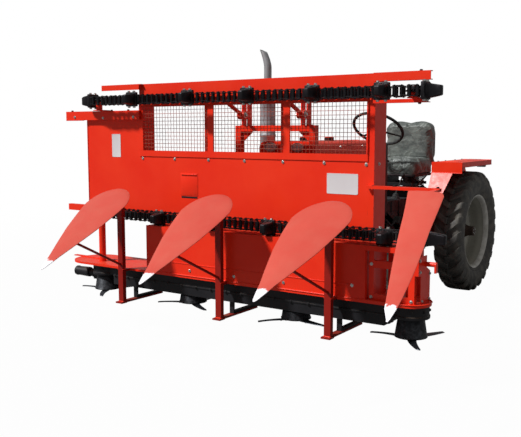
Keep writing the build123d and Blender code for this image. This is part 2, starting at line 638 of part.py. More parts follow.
def fenders():
    z, x0, x1 = 2 * REAR_R + 95, FENDER_IN, FENDER_OUT
    y0, y1, lip_z = REAR_AXLE_Y - 482, REAR_AXLE_Y + 300, 2 * REAR_R + 5
    foot_y = y0 - (lip_z - BOARD_Z) * 0.57
    top = bx(x0, x1, y0, y1, z - 4, z)
    lip = bx(x0, x1, y0, y0 + 4, lip_z, z)
    edge = bx(x1 - 4, x1, y0, y1, z - 40, z)
    outline = [(y0 + 2, z - 2), (y0 + 2, lip_z), (foot_y + 2, BOARD_Z), (y1 + 120, BOARD_Z),
               (y1 + 160, z - 380), (y1 + 100, z - 150), (y1 - 2, z - 2)]
    inner = plate_yz(outline, x0, x0 + 4)
    cut = across(x0 - 10, x0 + 20, REAR_AXLE_Y, REAR_R, 105)
    slant = [(y0, lip_z + 2), (y0 + 4, lip_z + 2), (foot_y + 4, BOARD_Z), (foot_y, BOARD_Z)]
    taper = [(x0, BOARD_Z - 5), (x0 + 35, BOARD_Z - 5), (x0 + 186, lip_z + 5), (x0, lip_z + 5)]
    side = Pos(0, foot_y - 10, 0) * extrude(Plane.XZ * make_face(Polyline(*taper, close=True)), -400)
    front = plate_yz(slant, x0 + 1, x1) & side
    return save("fenders", both(joined([top, lip, edge, inner, front]) - cut))


def footboards():
    board = bx(260, FENDER_IN, 480, 1010, BOARD_Z, BOARD_Z + 6)
    bracket = bx(250, FENDER_IN - 20, 700, 740, FRAME_Z + 20, BOARD_Z)
    toe = bx(260, FENDER_IN, 476, 480, BOARD_Z, BOARD_Z + 55)
    return save("footboards", both(joined([board, bracket, toe])))


def exhaust():
    x, y = -300.0, -470.0
    z = EXHAUST_TOP - 110
    elbow = across(x, -160, y, 1010, 24)
    drum = upright(x, y, 1060, z - 200, 57)
    low = upright(x, y, 1010, 1060, 24)
    pipe = upright(x, y, z - 200, z, 28)
    bend = rod((x, y, z - 5), (x - 12, y, z + 60), 28)
    bend += rod((x - 12, y, z + 55), (x - 40, y, z + 110), 27)
    return save("exhaust", elbow, drum, low, pipe, bend)


def rear_linkage():
    z = 400.0
    plate = bx(-120, 120, REAR_AXLE_Y + 160, REAR_AXLE_Y + 180, 380, 520)
    draw = bx(-35, 35, REAR_AXLE_Y + 180, REAR_AXLE_Y + 460, 420, 450)
    draw -= upright(0, REAR_AXLE_Y + 420, 400, 470, 14)
    y, end = REAR_AXLE_Y + 160, REAR_END_Y - 35
    solids = [plate, draw, bx(-180, 180, y, y + 15, z - 10, z + 50), bx(-30, 30, y, y + 50, 700, 760)]
    for side, ball_z in ((1, z + 20), (-1, z + 20 - BALL_DROP)):
        ear_x = sorted((side * 150, side * 180))
        arm = rod((side * 180, y + 15, z + 20), (side * (BALL_X - 4), end - 24, ball_z), 20)
        ball = across(side * BALL_X - 18, side * BALL_X + 18, end, ball_z, 35)
        bore = across(side * BALL_X - 30, side * BALL_X + 30, end, ball_z, 11.2)
        solids.append(bx(*ear_x, y, y + 40, z - 20, z + 60) + (arm + ball - bore))
    return save("rear_linkage", *solids)


def build_all():
    panel = header_panel()
    window_frame()
    window_mesh()
    cover = top_cover()
    posts = side_posts()
    header_rails()
    header_frame(panel + cover + posts)
    finger_chain("upper_chain", UPPER_CHAIN_Z, (-750, -270, 190, 640, 1070), *SPROCKET_XS, 92)
    finger_chain("lower_chain", LOWER_CHAIN_Z, (-520, -80, 347, 620, 1100), *SPROCKET_XS, 134)
    chain_shafts()
    deck()
    skirt(posts + joined([upright(x, CHAIN_Y, 400, 900, 24) for x in SPROCKET_XS]))
    right_end_frame()
    skid_posts()
    skid_brackets()
    gear_case()
    roofs = (HOUSE_Z, CASE_Z, CASE_Z, HOUSE_Z)
    for i, (x, turn, roof_z) in enumerate(zip(CUTTER_XS, (180, 203, 223, 178), roofs)):
        cutter(f"cutter_{i + 1}", x, turn, roof_z)
    dividers()
    lower_links()
    upper_links()
    lift_barrel()
    lift_rod()
    portal_frame()
    engine_block()
    transmission()
    front_axle()
    for side, word in ((1, "left"), (-1, "right")):
        knuckle(f"knuckle_{word}", side)
        wheel_tyre(f"rear_tyre_{word}", side * REAR_X, REAR_AXLE_Y, REAR_R, REAR_W, REAR_RIM_R,
                   REAR_LUG, REAR_LUGS, REAR_LUG_W)
        wheel_rim(f"rear_rim_{word}", side * REAR_X, REAR_AXLE_Y, REAR_R, REAR_RIM_R, REAR_W,
                  side * (AXLE_END_X + 60), AXLE_END_X + 12.4, 90, 0, side)
        wheel_tyre(f"front_tyre_{word}", side * FRONT_X, FRONT_AXLE_Y, FRONT_R, FRONT_W, FRONT_RIM_R,
                   0, 0, 0)
        wheel_rim(f"front_rim_{word}", side * FRONT_X, FRONT_AXLE_Y, FRONT_R, FRONT_RIM_R, FRONT_W,
                  side * (FRONT_X - 10), FRONT_X - 75, 45, 18.3, side)
    hood()
    dash_column()
    steering_wheel()
    seat_frame()
    seat_cushion()
    fenders()
    footboards()
    exhaust()
    rear_linkage()


build_all()
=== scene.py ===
import json
import math

import bmesh
import bpy
from mathutils import Matrix, Vector


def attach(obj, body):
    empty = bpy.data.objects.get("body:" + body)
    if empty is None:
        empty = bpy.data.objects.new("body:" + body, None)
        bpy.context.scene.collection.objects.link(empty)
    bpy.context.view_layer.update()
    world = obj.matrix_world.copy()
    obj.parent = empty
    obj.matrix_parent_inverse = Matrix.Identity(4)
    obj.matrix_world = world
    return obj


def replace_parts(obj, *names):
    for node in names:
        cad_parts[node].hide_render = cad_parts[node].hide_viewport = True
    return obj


# Looks for a four-row maize harvester header on a small tractor.
# Lengths in this file are millimetres unless a name says otherwise. Blender gets metres.

MM = 0.001
X, Y, Z = Vector((1, 0, 0)), Vector((0, 1, 0)), Vector((0, 0, 1))

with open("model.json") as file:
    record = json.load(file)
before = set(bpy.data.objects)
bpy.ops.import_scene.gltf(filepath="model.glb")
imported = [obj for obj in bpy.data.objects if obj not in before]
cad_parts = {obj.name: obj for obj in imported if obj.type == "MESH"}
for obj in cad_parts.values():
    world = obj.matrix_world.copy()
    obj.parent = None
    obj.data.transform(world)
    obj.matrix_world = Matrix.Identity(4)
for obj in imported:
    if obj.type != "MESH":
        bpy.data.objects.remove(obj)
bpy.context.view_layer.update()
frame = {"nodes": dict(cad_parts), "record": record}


# Tools for modelling

def lone(obj):
    """Makes obj the only selected object, and the active one."""
    bpy.ops.object.select_all(action="DESELECT")
    obj.select_set(True)
    bpy.context.view_layer.objects.active = obj
    return obj


def settle(obj, name=None):
    """Moves obj's place, turn and scale into its mesh."""
    lone(obj)
    bpy.ops.object.transform_apply(location=True, rotation=True, scale=True)
    if name:
        obj.name = obj.data.name = name
    return obj


def block(name, x0, x1, y0, y1, z0, z1):
    """Cube primitive stretched between two corners."""
    bpy.ops.object.select_all(action="DESELECT")
    middle = Vector((x0 + x1, y0 + y1, z0 + z1)) / 2 * MM
    bpy.ops.mesh.primitive_cube_add(size=1, location=middle)
    bpy.context.object.scale = Vector((x1 - x0, y1 - y0, z1 - z0)) * MM
    return settle(bpy.context.object, name)


def bar(name, p, q, r, sides=24, r_end=None):
    """Cylinder primitive, or a cone where r_end differs, from point p to point q."""
    bpy.ops.object.select_all(action="DESELECT")
    p, q = Vector(p) * MM, Vector(q) * MM
    turn = (q - p).to_track_quat("Z", "Y").to_euler()
    r_end = r if r_end is None else r_end
    bpy.ops.mesh.primitive_cone_add(vertices=sides, radius1=r * MM, radius2=r_end * MM,
                                    depth=(q - p).length, location=(p + q) / 2, rotation=turn)
    return settle(bpy.context.object, name)


def edit(obj, kind="FACE"):
    """Opens obj in edit mode with nothing selected."""
    lone(obj)
    bpy.ops.object.mode_set(mode="EDIT")
    bpy.ops.mesh.select_mode(type=kind)
    bpy.ops.mesh.select_all(action="DESELECT")


def leave():
    """Goes back to object mode."""
    bpy.ops.object.mode_set(mode="OBJECT")


def pick(test, kind="faces"):
    """Selects the faces, edges or verts of the object in edit mode that pass the test."""
    bpy.ops.mesh.select_all(action="DESELECT")
    data = bpy.context.object.data
    mesh = bmesh.from_edit_mesh(data)
    for item in getattr(mesh, kind):
        if test(item):
            item.select_set(True)
    mesh.select_flush_mode()
    bmesh.update_edit_mesh(data)


def facing(direction, limit=0.9):
    """A test for faces that look along a direction."""
    return lambda face: face.normal.dot(direction) > limit


def running(axis):
    """A test for edges that run along an axis, given by its number."""
    return lambda edge: abs((edge.verts[0].co - edge.verts[1].co).normalized()[axis]) > 0.9


def scale_pick(x=1.0, y=1.0, z=1.0, centre=(0, 0, 0)):
    """Scales what is selected about a point."""
    bpy.ops.transform.resize(value=(x, y, z), center_override=Vector(centre) * MM)


def move_pick(x=0.0, y=0.0, z=0.0):
    """Moves what is selected."""
    bpy.ops.transform.translate(value=(x * MM, y * MM, z * MM))


def narrowed(obj, look, scales, centre):
    """Scales the end of obj that looks along a direction, about a point."""
    edit(obj)
    pick(facing(look))
    scale_pick(*scales, centre)
    leave()
    return obj


def stepped(obj, look, inset, rise):
    """Insets the face that looks along a direction and moves its middle by rise."""
    edit(obj)
    pick(facing(look))
    bpy.ops.mesh.inset(thickness=inset * MM)
    move_pick(*rise)
    leave()
    return obj


def circled(centre, axis, radius, count, phase=0.5):
    """Points evenly round a centre, in the plane across an axis, each with its way out."""
    for k in range(count):
        a = math.tau * (k + phase) / count
        c, s = math.cos(a), math.sin(a)
        out = Vector((c, s, 0)) if axis == Z else Vector((0, c, s))
        yield Vector(centre) + out * radius, out


def rounded(obj, axis, radius, segments):
    """Rounds the corners whose edges run along an axis."""
    edit(obj, "EDGE")
    pick(running(axis), "edges")
    bpy.ops.mesh.bevel(offset=radius * MM, segments=segments, affect="EDGES")
    leave()
    return obj


def modify(obj, kind, **settings):
    """Adds a modifier and applies it."""
    lone(obj)
    made = obj.modifiers.new(kind.title(), kind)
    for key, value in settings.items():
        setattr(made, key, value)
    bpy.ops.object.modifier_apply(modifier=made.name)
    return obj


def bevelled(obj, width, segments=2, angle=30.0):
    return modify(obj, "BEVEL", width=width * MM, segments=segments,
                  limit_method="ANGLE", angle_limit=math.radians(angle))


def smooth(obj, angle=35.0):
    lone(obj)
    bpy.ops.object.shade_smooth_by_angle(angle=math.radians(angle))
    return obj


def copied(obj, matrix):
    """A copy with its own mesh, placed by a matrix in metres."""
    twin = obj.copy()
    twin.data = obj.data.copy()
    twin.data.transform(matrix)
    bpy.context.collection.objects.link(twin)
    return twin


def at(x, y, z, turn=0.0, axis="Z"):
    """Matrix that turns by degrees about an axis and then moves."""
    move = Matrix.Translation(Vector((x, y, z)) * MM)
    return move @ Matrix.Rotation(math.radians(turn), 4, axis)


def joined(name, parts):
    """Joins objects into the first one."""
    bpy.ops.object.select_all(action="DESELECT")
    for part in parts:
        part.select_set(True)
    bpy.context.view_layer.objects.active = parts[0]
    if len(parts) > 1:
        bpy.ops.object.join()
    whole = bpy.context.object
    whole.name = whole.data.name = name
    return whole


def spun(name, outline, centre, axis, steps=48):
    """Turned piece: an outline of (along the axis, radius) points, spun about the axis."""
    bpy.ops.object.select_all(action="DESELECT")
    bpy.ops.mesh.primitive_plane_add(size=0.001, location=(0, 0, 0))
    obj = bpy.context.object
    edit(obj, "VERT")
    mesh = bmesh.from_edit_mesh(obj.data)
    bmesh.ops.delete(mesh, geom=list(mesh.verts), context="VERTS")
    side = X if abs(Vector(axis).dot(X)) < 0.9 else Y
    side = (side - Vector(axis) * side.dot(Vector(axis))).normalized()
    points = [mesh.verts.new((Vector(centre) + Vector(axis) * a + side * r) * MM) for a, r in outline]
    for first, second in zip(points, points[1:]):
        mesh.edges.new((first, second))
    bmesh.update_edit_mesh(obj.data)
    bpy.ops.mesh.select_all(action="SELECT")
    bpy.ops.mesh.spin(steps=steps, angle=math.tau, center=Vector(centre) * MM, axis=axis)
    bpy.ops.mesh.select_all(action="SELECT")
    bpy.ops.mesh.remove_doubles(threshold=0.00002)
    bpy.ops.mesh.normals_make_consistent(inside=False)
    leave()
    obj.name = obj.data.name = name
    return obj


def placed(obj, body, finish, slot=None, angle=35.0):
    """Gives a finished piece its material and its body; the slot argument is not used."""
    smooth(obj, angle)
    obj.data.materials.clear()
    obj.data.materials.append(finish)
    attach(obj, body)
    return obj


def group(name, parts, *looks):
    """Joins parts into one finished piece."""
    return placed(joined(name, parts), *looks)


def aligned(point, direction, turn=0.0):
    """Matrix that puts a piece made along Z at the origin onto a point, along a direction."""
    turned = Vector(direction).to_track_quat("Z", "Y").to_matrix().to_4x4()
    return Matrix.Translation(Vector(point) * MM) @ turned @ Matrix.Rotation(math.radians(turn), 4, "Z")


def repeated(name, model, matrices):
    """Copies a model once for each matrix and joins the copies. The model itself goes."""
    parts = [copied(model, matrix) for matrix in matrices]
    bpy.data.objects.remove(model)
    return joined(name, parts)


def shaped(obj, move):
    """Moves every vertex to where move sends it, in millimetres."""
    for vertex in obj.data.vertices:
        vertex.co = Vector(move(*(vertex.co / MM))) * MM
    obj.data.update()
    return obj


def sliced(obj, axis, parts):
    """Cuts the edges that run along an axis into equal parts, so that obj can be curved."""
    edit(obj, "EDGE")
    pick(running(axis), "edges")
    bpy.ops.mesh.subdivide(number_cuts=parts - 1)
    leave()
    return obj


# Materials

def linear(code):
    """An sRGB hex value as linear red, green, blue and alpha."""
    parts = [int(code[i:i + 2], 16) / 255 for i in (0, 2, 4)]
    return [c / 12.92 if c <= 0.04045 else ((c + 0.055) / 1.055) ** 2.4 for c in parts] + [1.0]


def add(tree, kind, sockets=None, **settings):
    """Adds a shader node, sets it up and links what feeds it."""
    made = tree.nodes.new("ShaderNode" + kind)
    for key, value in settings.items():
        setattr(made, key, value)
    for key, value in (sockets or {}).items():
        if isinstance(value, bpy.types.NodeSocket):
            tree.links.new(value, made.inputs[key])
        else:
            made.inputs[key].default_value = value
    return made


def fresh(name):
    """An empty material: its tree, its surface shader and its object coordinates."""
    made = bpy.data.materials.new(name)
    made.use_nodes = True
    tree = made.node_tree
    tree.nodes.clear()
    shader = add(tree, "BsdfPrincipled")
    add(tree, "OutputMaterial", {"Surface": shader.outputs[0]})
    return made, tree, shader, add(tree, "TexCoord").outputs["Object"]


def patches(tree, place, size_mm, low, high, detail=4.0):
    """Cloudy mask with patches about size_mm across: 0 below low and 1 above high."""
    cloud = add(tree, "TexNoise", {"Vector": place, "Scale": 1 / (size_mm * MM), "Detail": detail,
                                   "Roughness": 0.6}).outputs["Fac"]
    return add(tree, "MapRange", {"Value": cloud, "From Min": low, "From Max": high}).outputs[0]


def worn_edges(tree, radius_mm):
    """1 on sharp outer edges and 0 on flat faces."""
    round_over = add(tree, "Bevel", {"Radius": radius_mm * MM}, samples=4).outputs[0]
    flat = add(tree, "NewGeometry").outputs["True Normal"]
    turn = add(tree, "VectorMath", {0: round_over, 1: flat}, operation="DOT_PRODUCT").outputs["Value"]
    return add(tree, "MapRange", {"Value": turn, "From Min": 0.995, "From Max": 0.9}).outputs[0]


def facing_up(tree):
    """1 on faces that look up and 0 on walls."""
    normal = add(tree, "NewGeometry").outputs["True Normal"]
    up = add(tree, "SeparateXYZ", {0: normal}).outputs["Z"]
    return add(tree, "MapRange", {"Value": up, "From Min": 0.3, "From Max": 1.0}).outputs[0]


def laid_over(tree, under, colour, amount, *masks):
    """A colour laid over another where all the masks meet, by amount at most."""
    for mask in masks:
        amount = add(tree, "Math", {0: mask, 1: amount}, operation="MULTIPLY").outputs[0]
    return add(tree, "Mix", {0: amount, 6: under, 7: linear(colour)}, data_type="RGBA").outputs[2]


def relief(tree, place, size_mm, depth_mm, strength, detail=3.0, twist=0.0):
    """Normal of a noisy surface with bumps about size_mm across."""
    height = add(tree, "TexNoise", {"Vector": place, "Scale": 1 / (size_mm * MM), "Detail": detail,
                                    "Distortion": twist}).outputs["Fac"]
    return add(tree, "Bump", {"Height": height, "Strength": strength, "Distance": depth_mm * MM}).outputs[0]


def linked(tree, shader, sockets, **fixed):
    """Feeds the surface shader: sockets are links, and fixed values name a socket with _ for a space."""
    for key, value in sockets.items():
        tree.links.new(value, shader.inputs[key])
    for key, value in fixed.items():
        shader.inputs[key.replace("_", " ")].default_value = value


def enamel(name, colour, faded, primer, wear=0.75, dust=0.25, rough=0.34, white_tips=False):
    """Sprayed enamel on sheet steel. The eye sees a slightly mottled colour under a fine orange peel,
    primer along the edges where the paint has rubbed off, and field dust on what faces up."""
    made, tree, shader, place = fresh(name)
    base = laid_over(tree, linear(colour), faded, 1.0, patches(tree, place, 420, 0.35, 0.7))
    if white_tips:
        # White paint on the last stretch of each divider's tip, with an uneven, brushed border.
        y = add(tree, "SeparateXYZ", {0: place}).outputs["Y"]
        edge = add(tree, "TexNoise", {"Vector": place, "Scale": 45.0, "Detail": 3.0}).outputs["Fac"]
        edge = add(tree, "Math", {0: edge, 1: 0.05, 2: y}, operation="MULTIPLY_ADD").outputs[0]
        tip = add(tree, "MapRange", {"Value": edge, "From Min": -2.142, "From Max": -2.15}).outputs[0]
        base = laid_over(tree, base, "ECE9EE", 1.0, tip)
    chips = patches(tree, place, 26, 0.52, 0.62, 5.0)
    base = laid_over(tree, base, primer, wear, worn_edges(tree, 2.2), chips)
    base = laid_over(tree, base, "A98F74", dust, facing_up(tree), patches(tree, place, 90, 0.4, 0.8, 5.0))
    sheen = add(tree, "MapRange", {"Value": patches(tree, place, 40, 0.3, 0.75), "To Min": rough - 0.05,
                                   "To Max": rough + 0.12}).outputs[0]
    peel = relief(tree, place, 3.5, 0.4, 0.12)
    linked(tree, shader, {"Base Color": base, "Roughness": sheen, "Normal": peel},
           Specular_IOR_Level=0.22, Coat_Weight=0.04, Coat_Roughness=0.2)
    return made


def metal(name, colour, dirt, rough=0.45, metallic=1.0, grain_mm=8.0, dirt_share=0.5, edge=None,
          pits=0.25):
    """Bare, oiled or plated metal. The eye sees grime in dark blotches that also dull the shine, fine
    pitting, and edges rubbed brighter."""
    made, tree, shader, place = fresh(name)
    blotch = patches(tree, place, 60, 0.4, 0.68, 5.0)
    base = laid_over(tree, linear(colour), dirt, dirt_share, blotch)
    if edge:
        base = laid_over(tree, base, edge, 1.0, worn_edges(tree, 1.2), patches(tree, place, 18, 0.42, 0.6))
    shine = add(tree, "MapRange", {"Value": blotch, "To Min": rough - 0.1, "To Max": rough + 0.18}).outputs[0]
    grain = relief(tree, place, grain_mm, 0.5, pits)
    linked(tree, shader, {"Base Color": base, "Roughness": shine, "Normal": grain},
           Metallic=metallic)
    return made


def rubber(name, colour, dust_colour, dust=0.5):
    """Carbon-black rubber or moulded plastic. The eye sees a dull skin with pale soil dust in clouds
    and scuffed grey edges."""
    made, tree, shader, place = fresh(name)
    base = laid_over(tree, linear(colour), dust_colour, dust, patches(tree, place, 70, 0.42, 0.7, 5.0))
    base = laid_over(tree, base, "7E7A74", 0.45, worn_edges(tree, 4.0))
    linked(tree, shader, {"Base Color": base, "Normal": relief(tree, place, 4.0, 0.5, 0.2)}, Roughness=0.78)
    return made


def wrapped_seat():
    """Grey-green vinyl under a loose plastic film. The eye sees broad soft creases with a dull shine,
    painted highlights in pale patches where the film lifts and painted shade in dark patches for its folds."""
    made, tree, shader, place = fresh("creased_seat_film")
    pulled = add(tree, "VectorMath", {0: place, 1: (0.7, 1.0, 0.8)}, operation="MULTIPLY").outputs["Vector"]
    fold = patches(tree, pulled, 60, 0.42, 0.6, 4.0)
    # Pale patches: painted highlights where the film lifts.
    base = laid_over(tree, linear("4C514E"), "747A74", 0.7, fold)
    # Dark patches: painted shade in the film's folds.
    base = laid_over(tree, base, "2B2D2D", 0.5, patches(tree, pulled, 110, 0.52, 0.68, 3.0))
    crease = relief(tree, pulled, 75, 14.0, 0.8, 3.0, 1.2)
    linked(tree, shader, {"Base Color": base, "Normal": crease}, Roughness=0.5, Coat_Weight=0.15,
           Coat_Roughness=0.3)
    return made


def lens(name, colour):
    """Moulded lamp lens. The eye sees a saturated, glossy plastic with fine ribs."""
    made, tree, shader, place = fresh(name)
    wave = add(tree, "TexWave", {"Vector": place, "Scale": 70.0}, bands_direction="X").outputs["Fac"]
    ribs = add(tree, "Bump", {"Height": wave, "Strength": 0.3, "Distance": 1.0 * MM}).outputs[0]
    base = laid_over(tree, linear(colour), "20100C", 0.3, patches(tree, place, 30, 0.45, 0.8))
    linked(tree, shader, {"Base Color": base, "Normal": ribs}, Roughness=0.18, Coat_Weight=0.4)
    return made


RED = enamel("red_enamel", "E62A12", "EC361A", "6B2A20")
# Darker copy of the red enamel for the skid posts: painted shade standing in for the dividers' shadow over
# them.
SHADED_POST_RED = enamel("post_shade_red_enamel", "86160F", "921E14", "40180F")
CORAL = enamel("coral_enamel", "C4493D", "CC5648", "6A3028", wear=0.5, dust=0.1, white_tips=True)
WIRE = enamel("red_wire_lacquer", "A8402E", "8E4A3A", "4A2A22", wear=0.4, dust=0.3, rough=0.5)
BLACK = enamel("black_chassis_paint", "17171A", "242326", "55504A", dust=0.3, rough=0.46)
CHAIN = metal("oiled_chain_steel", "2A282B", "121114", 0.42, 0.85, 6, 0.7, "6E6A6C")
BELL = metal("blackened_bell_steel", "24262A", "101114", 0.5, 0.6, 8, 0.6, "54565C")
BLADE = metal("forged_blade_steel", "4A4E55", "1D1E22", 0.4, 0.9, 10, 0.75, "9BA0A8")
IRON = metal("painted_cast_iron", "3A3C40", "1B1B1D", 0.6, 0.3, 5, 0.6, "6C6C70", 0.5)
CHROME = metal("chromed_rod", "D8DADF", "9A9CA2", 0.14, 1.0, 30, 0.2, None, 0.02)
EXHAUST = metal("galvanised_exhaust", "A6A8AB", "7C7B7A", 0.42, 0.35, 12, 0.6, None, 0.2)
ZINC = metal("zinc_plated_bolt", "C9CBC8", "8A877C", 0.36, 1.0, 5, 0.5, None, 0.15)
TYRE = rubber("tyre_rubber", "484745", "827B70")
LABEL = enamel("blank_plate_paint", "DAD6D6", "CFC8CA", "8C8278", wear=0.4, dust=0.05, rough=0.4)
HUB = metal("rusty_cast_hub", "3E2A20", "1E1512", 0.7, 0.2, 6, 0.6, "6A4A38", 0.5)
RIM_EDGE = metal("rubbed_rim_flange", "C4C1BA", "8C887E", 0.38, 0.3, 8, 0.5)
RIM = enamel("silver_grey_rim_paint", "8F8D84", "A5A297", "55483C", dust=0.35, rough=0.42)
GRIP = rubber("moulded_wheel_plastic", "131315", "2E2D2C", 0.3)
SEAT = wrapped_seat()
SEAT_BASE = rubber("seat_base_plastic", "2E2226", "463A3A", 0.4)
AMBER = lens("amber_lamp_lens", "D8700E")
CLEAR = lens("clear_lamp_lens", "C9CCCE")

FINISHES = {"red_paint": RED, "coral_paint": CORAL, "black_steel": BLACK, "chain_steel": CHAIN,
            "blade_steel": BLADE, "engine_iron": IRON, "rod_chrome": CHROME,
            "exhaust_steel": EXHAUST, "tyre": TYRE, "rim_paint": RIM, "seat_cover": SEAT,
            "wheel_plastic": GRIP}

for row in frame["record"]["subparts"]:
    node = frame["nodes"][row["node"]]
    node.data.materials.clear()
    node.data.materials.append(FINISHES[row["material_slot"]])
# The skid posts get the darker red copy: painted shade for the dividers' shadow.
frame["nodes"]["skid_posts"].data.materials[0] = SHADED_POST_RED


# Camera, light and floor

def studio():
    data = bpy.data.cameras.new("photo_camera")
    data.sensor_width = 36
    data.lens = 52.19
    camera = bpy.data.objects.new("photo_camera", data)
    camera.location = (2.82, -5.18, 1.406)
    camera.rotation_euler = (math.radians(83.46), 0, math.radians(34.07))
    bpy.context.collection.objects.link(camera)
    bpy.context.scene.camera = camera
    bpy.context.scene.view_settings.view_transform = "Standard"

    lamp = bpy.data.lights.new("key_sun", "SUN")
    lamp.energy = 4.2
    lamp.angle = math.radians(5)
    holder = bpy.data.objects.new("key_sun", lamp)
    holder.rotation_euler = Vector((0.45, 0.6, -0.78)).to_track_quat("-Z", "Y").to_euler()
    bpy.context.collection.objects.link(holder)

    world = bpy.data.worlds.new("studio_white")
    world.use_nodes = True
    tree = world.node_tree
    tree.nodes.clear()
    path = add(tree, "LightPath").outputs
    glints = add(tree, "Math", {0: path["Is Glossy Ray"], 1: 0.3}, operation="MULTIPLY").outputs[0]
    seen = add(tree, "Math", {0: path["Is Camera Ray"], 1: glints}, operation="MAXIMUM").outputs[0]
    strength = add(tree, "Math", {0: seen, 1: 0.22}, operation="MAXIMUM").outputs[0]
    sky = add(tree, "Background", {"Color": (1, 1, 1, 1), "Strength": strength})
    add(tree, "OutputWorld", {"Surface": sky.outputs[0]})
    bpy.context.scene.world = world

    bpy.ops.object.select_all(action="DESELECT")
    bpy.ops.mesh.primitive_plane_add(size=60, location=(0, 0, 0))
    floor = bpy.context.object
    floor.name = "studio_floor"
    made = bpy.data.materials.new("pale_floor")
    made.use_nodes = True
    tree = made.node_tree
    tree.nodes.clear()
    far = add(tree, "VectorMath", {0: add(tree, "TexCoord").outputs["Object"]}, operation="LENGTH")
    lift = add(tree, "MapRange", {"Value": far.outputs["Value"], "From Min": 3.0, "From Max": 9.0,
                                  "To Min": 0.98, "To Max": 1.0}).outputs[0]
    seen = add(tree, "LightPath").outputs["Is Camera Ray"]
    share = add(tree, "Math", {0: lift, 1: seen}, operation="MULTIPLY").outputs[0]
    matt = add(tree, "BsdfDiffuse", {"Color": (0.22, 0.22, 0.22, 1)})
    glow = add(tree, "Emission", {"Color": (1, 1, 1, 1), "Strength": 1.0})
    mixed = add(tree, "MixShader", {0: share, 1: matt.outputs[0], 2: glow.outputs[0]})
    add(tree, "OutputMaterial", {"Surface": mixed.outputs[0]})
    floor.data.materials.append(made)


studio()


def hex_bolt(r=7.5, washer=10.0):
    """Hexagon bolt head on its washer, along Z from the origin."""
    head = bar("bolt_head", (0, 0, 1.6), (0, 0, 1.6 + r * 0.75), r, 6)
    stepped(head, Z, r * 0.12, (0, 0, r * 0.12))
    ring = bar("bolt_washer", (0, 0, -0.5), (0, 0, 1.6), washer, 20)
    stepped(ring, Z, 0.8, (0, 0, 0.4))
    return joined("hex_bolt", [ring, head])


def bolts(name, body, places, r=7.5, washer=10.0, finish=None):
    """One piece of bolts, each given as a point and the direction its head looks."""
    piece = repeated(name, hex_bolt(r, washer), [aligned(p, d, 17 * i) for i, (p, d) in enumerate(places)])
    return placed(piece, body, finish or ZINC, "rod_chrome")


# Header: finger chains

CHAIN_Y, CHAIN_R, LINKS = -1375.0, 50.0, 120
LEFT_SPROCKET, RIGHT_SPROCKET = -1120.0, 1230.0
RUN = RIGHT_SPROCKET - LEFT_SPROCKET
PITCH = (2 * RUN + math.tau * CHAIN_R) / LINKS


def chain_place(s):
    """Point and heading in degrees at a distance s along the chain loop, seen from above."""
    half = math.pi * CHAIN_R
    s %= 2 * (RUN + half)
    if s < RUN:
        return LEFT_SPROCKET + s, CHAIN_Y - CHAIN_R, 0.0
    if s < RUN + half:
        a = (s - RUN) / CHAIN_R
        return RIGHT_SPROCKET + CHAIN_R * math.sin(a), CHAIN_Y - CHAIN_R * math.cos(a), math.degrees(a)
    if s < 2 * RUN + half:
        return RIGHT_SPROCKET - (s - RUN - half), CHAIN_Y + CHAIN_R, 180.0
    a = (s - 2 * RUN - half) / CHAIN_R
    return LEFT_SPROCKET - CHAIN_R * math.sin(a), CHAIN_Y + CHAIN_R * math.cos(a), 180 + math.degrees(a)


def link_plate(length, width, z0, z1):
    """Rounded link plate along X."""
    plate = block("link_plate", -length / 2, length / 2, -width / 2, width / 2, z0, z1)
    return rounded(plate, 2, width * 0.42, 2)


def chain_link(outer):
    """Outer link with pins, or inner link with rollers, with its middle at the origin."""
    half = PITCH / 2
    if outer:
        parts = [link_plate(PITCH + 22, 25, a, a + 4.5) for a in (-30, 25.5)]
        parts += [bar("pin", (x, 0, -33), (x, 0, 33), 5, 8) for x in (-half, half)]
    else:
        parts = [link_plate(PITCH + 20, 23, a, a + 4) for a in (-24.5, 20.5)]
        parts += [bar("roller", (x, 0, -20), (x, 0, 20), 11, 10) for x in (-half, half)]
    return joined("chain_link", parts)


def chain_finger():
    """Cast pushing finger along -Y: a tapered claw on a foot, with a bolt above and below."""
    claw = block("claw", -40, 40, -92, 4, -42, 42)
    edit(claw)
    pick(facing(-Y))
    scale_pick(0.42, 1, 0.62, (0, -92, 0))
    move_pick(x=8)
    leave()
    sliced(claw, 1, 4)
    shaped(claw, lambda x, y, z: (x + 10 * math.sin(-y / 92 * math.pi), y, z))
    bevelled(claw, 7, 3)
    foot = block("foot", -46, 46, -14, 8, -47, 47)
    bevelled(foot, 5, 2)
    rib = block("rib", -6, 10, -70, -8, -46, 46)
    bevelled(narrowed(rib, -Y, (0.5, 1, 0.5), (2, -70, 0)), 3, 1)
    return joined("chain_finger", [foot, claw, rib])


def sprocket(z):
    """Toothed wheel inside the chain loop at both ends."""
    wheels = []
    for x in (LEFT_SPROCKET, RIGHT_SPROCKET):
        profile = [(-9, 0), (-9, 34), (-7, 38), (7, 38), (9, 34), (9, 22), (24, 20), (26, 16), (26, 0)]
        disc = spun("disc", profile, (x, CHAIN_Y, z), Z, 24)
        tooth = narrowed(block("tooth", 36, 47, -7, 7, -6, 6), X, (1, 0.45, 0.7), (47, 0, 0))
        teeth = repeated("teeth", tooth, [at(x, CHAIN_Y, z, 30 * i + 15) for i in range(12)])
        wheels += [disc, teeth]
    return wheels


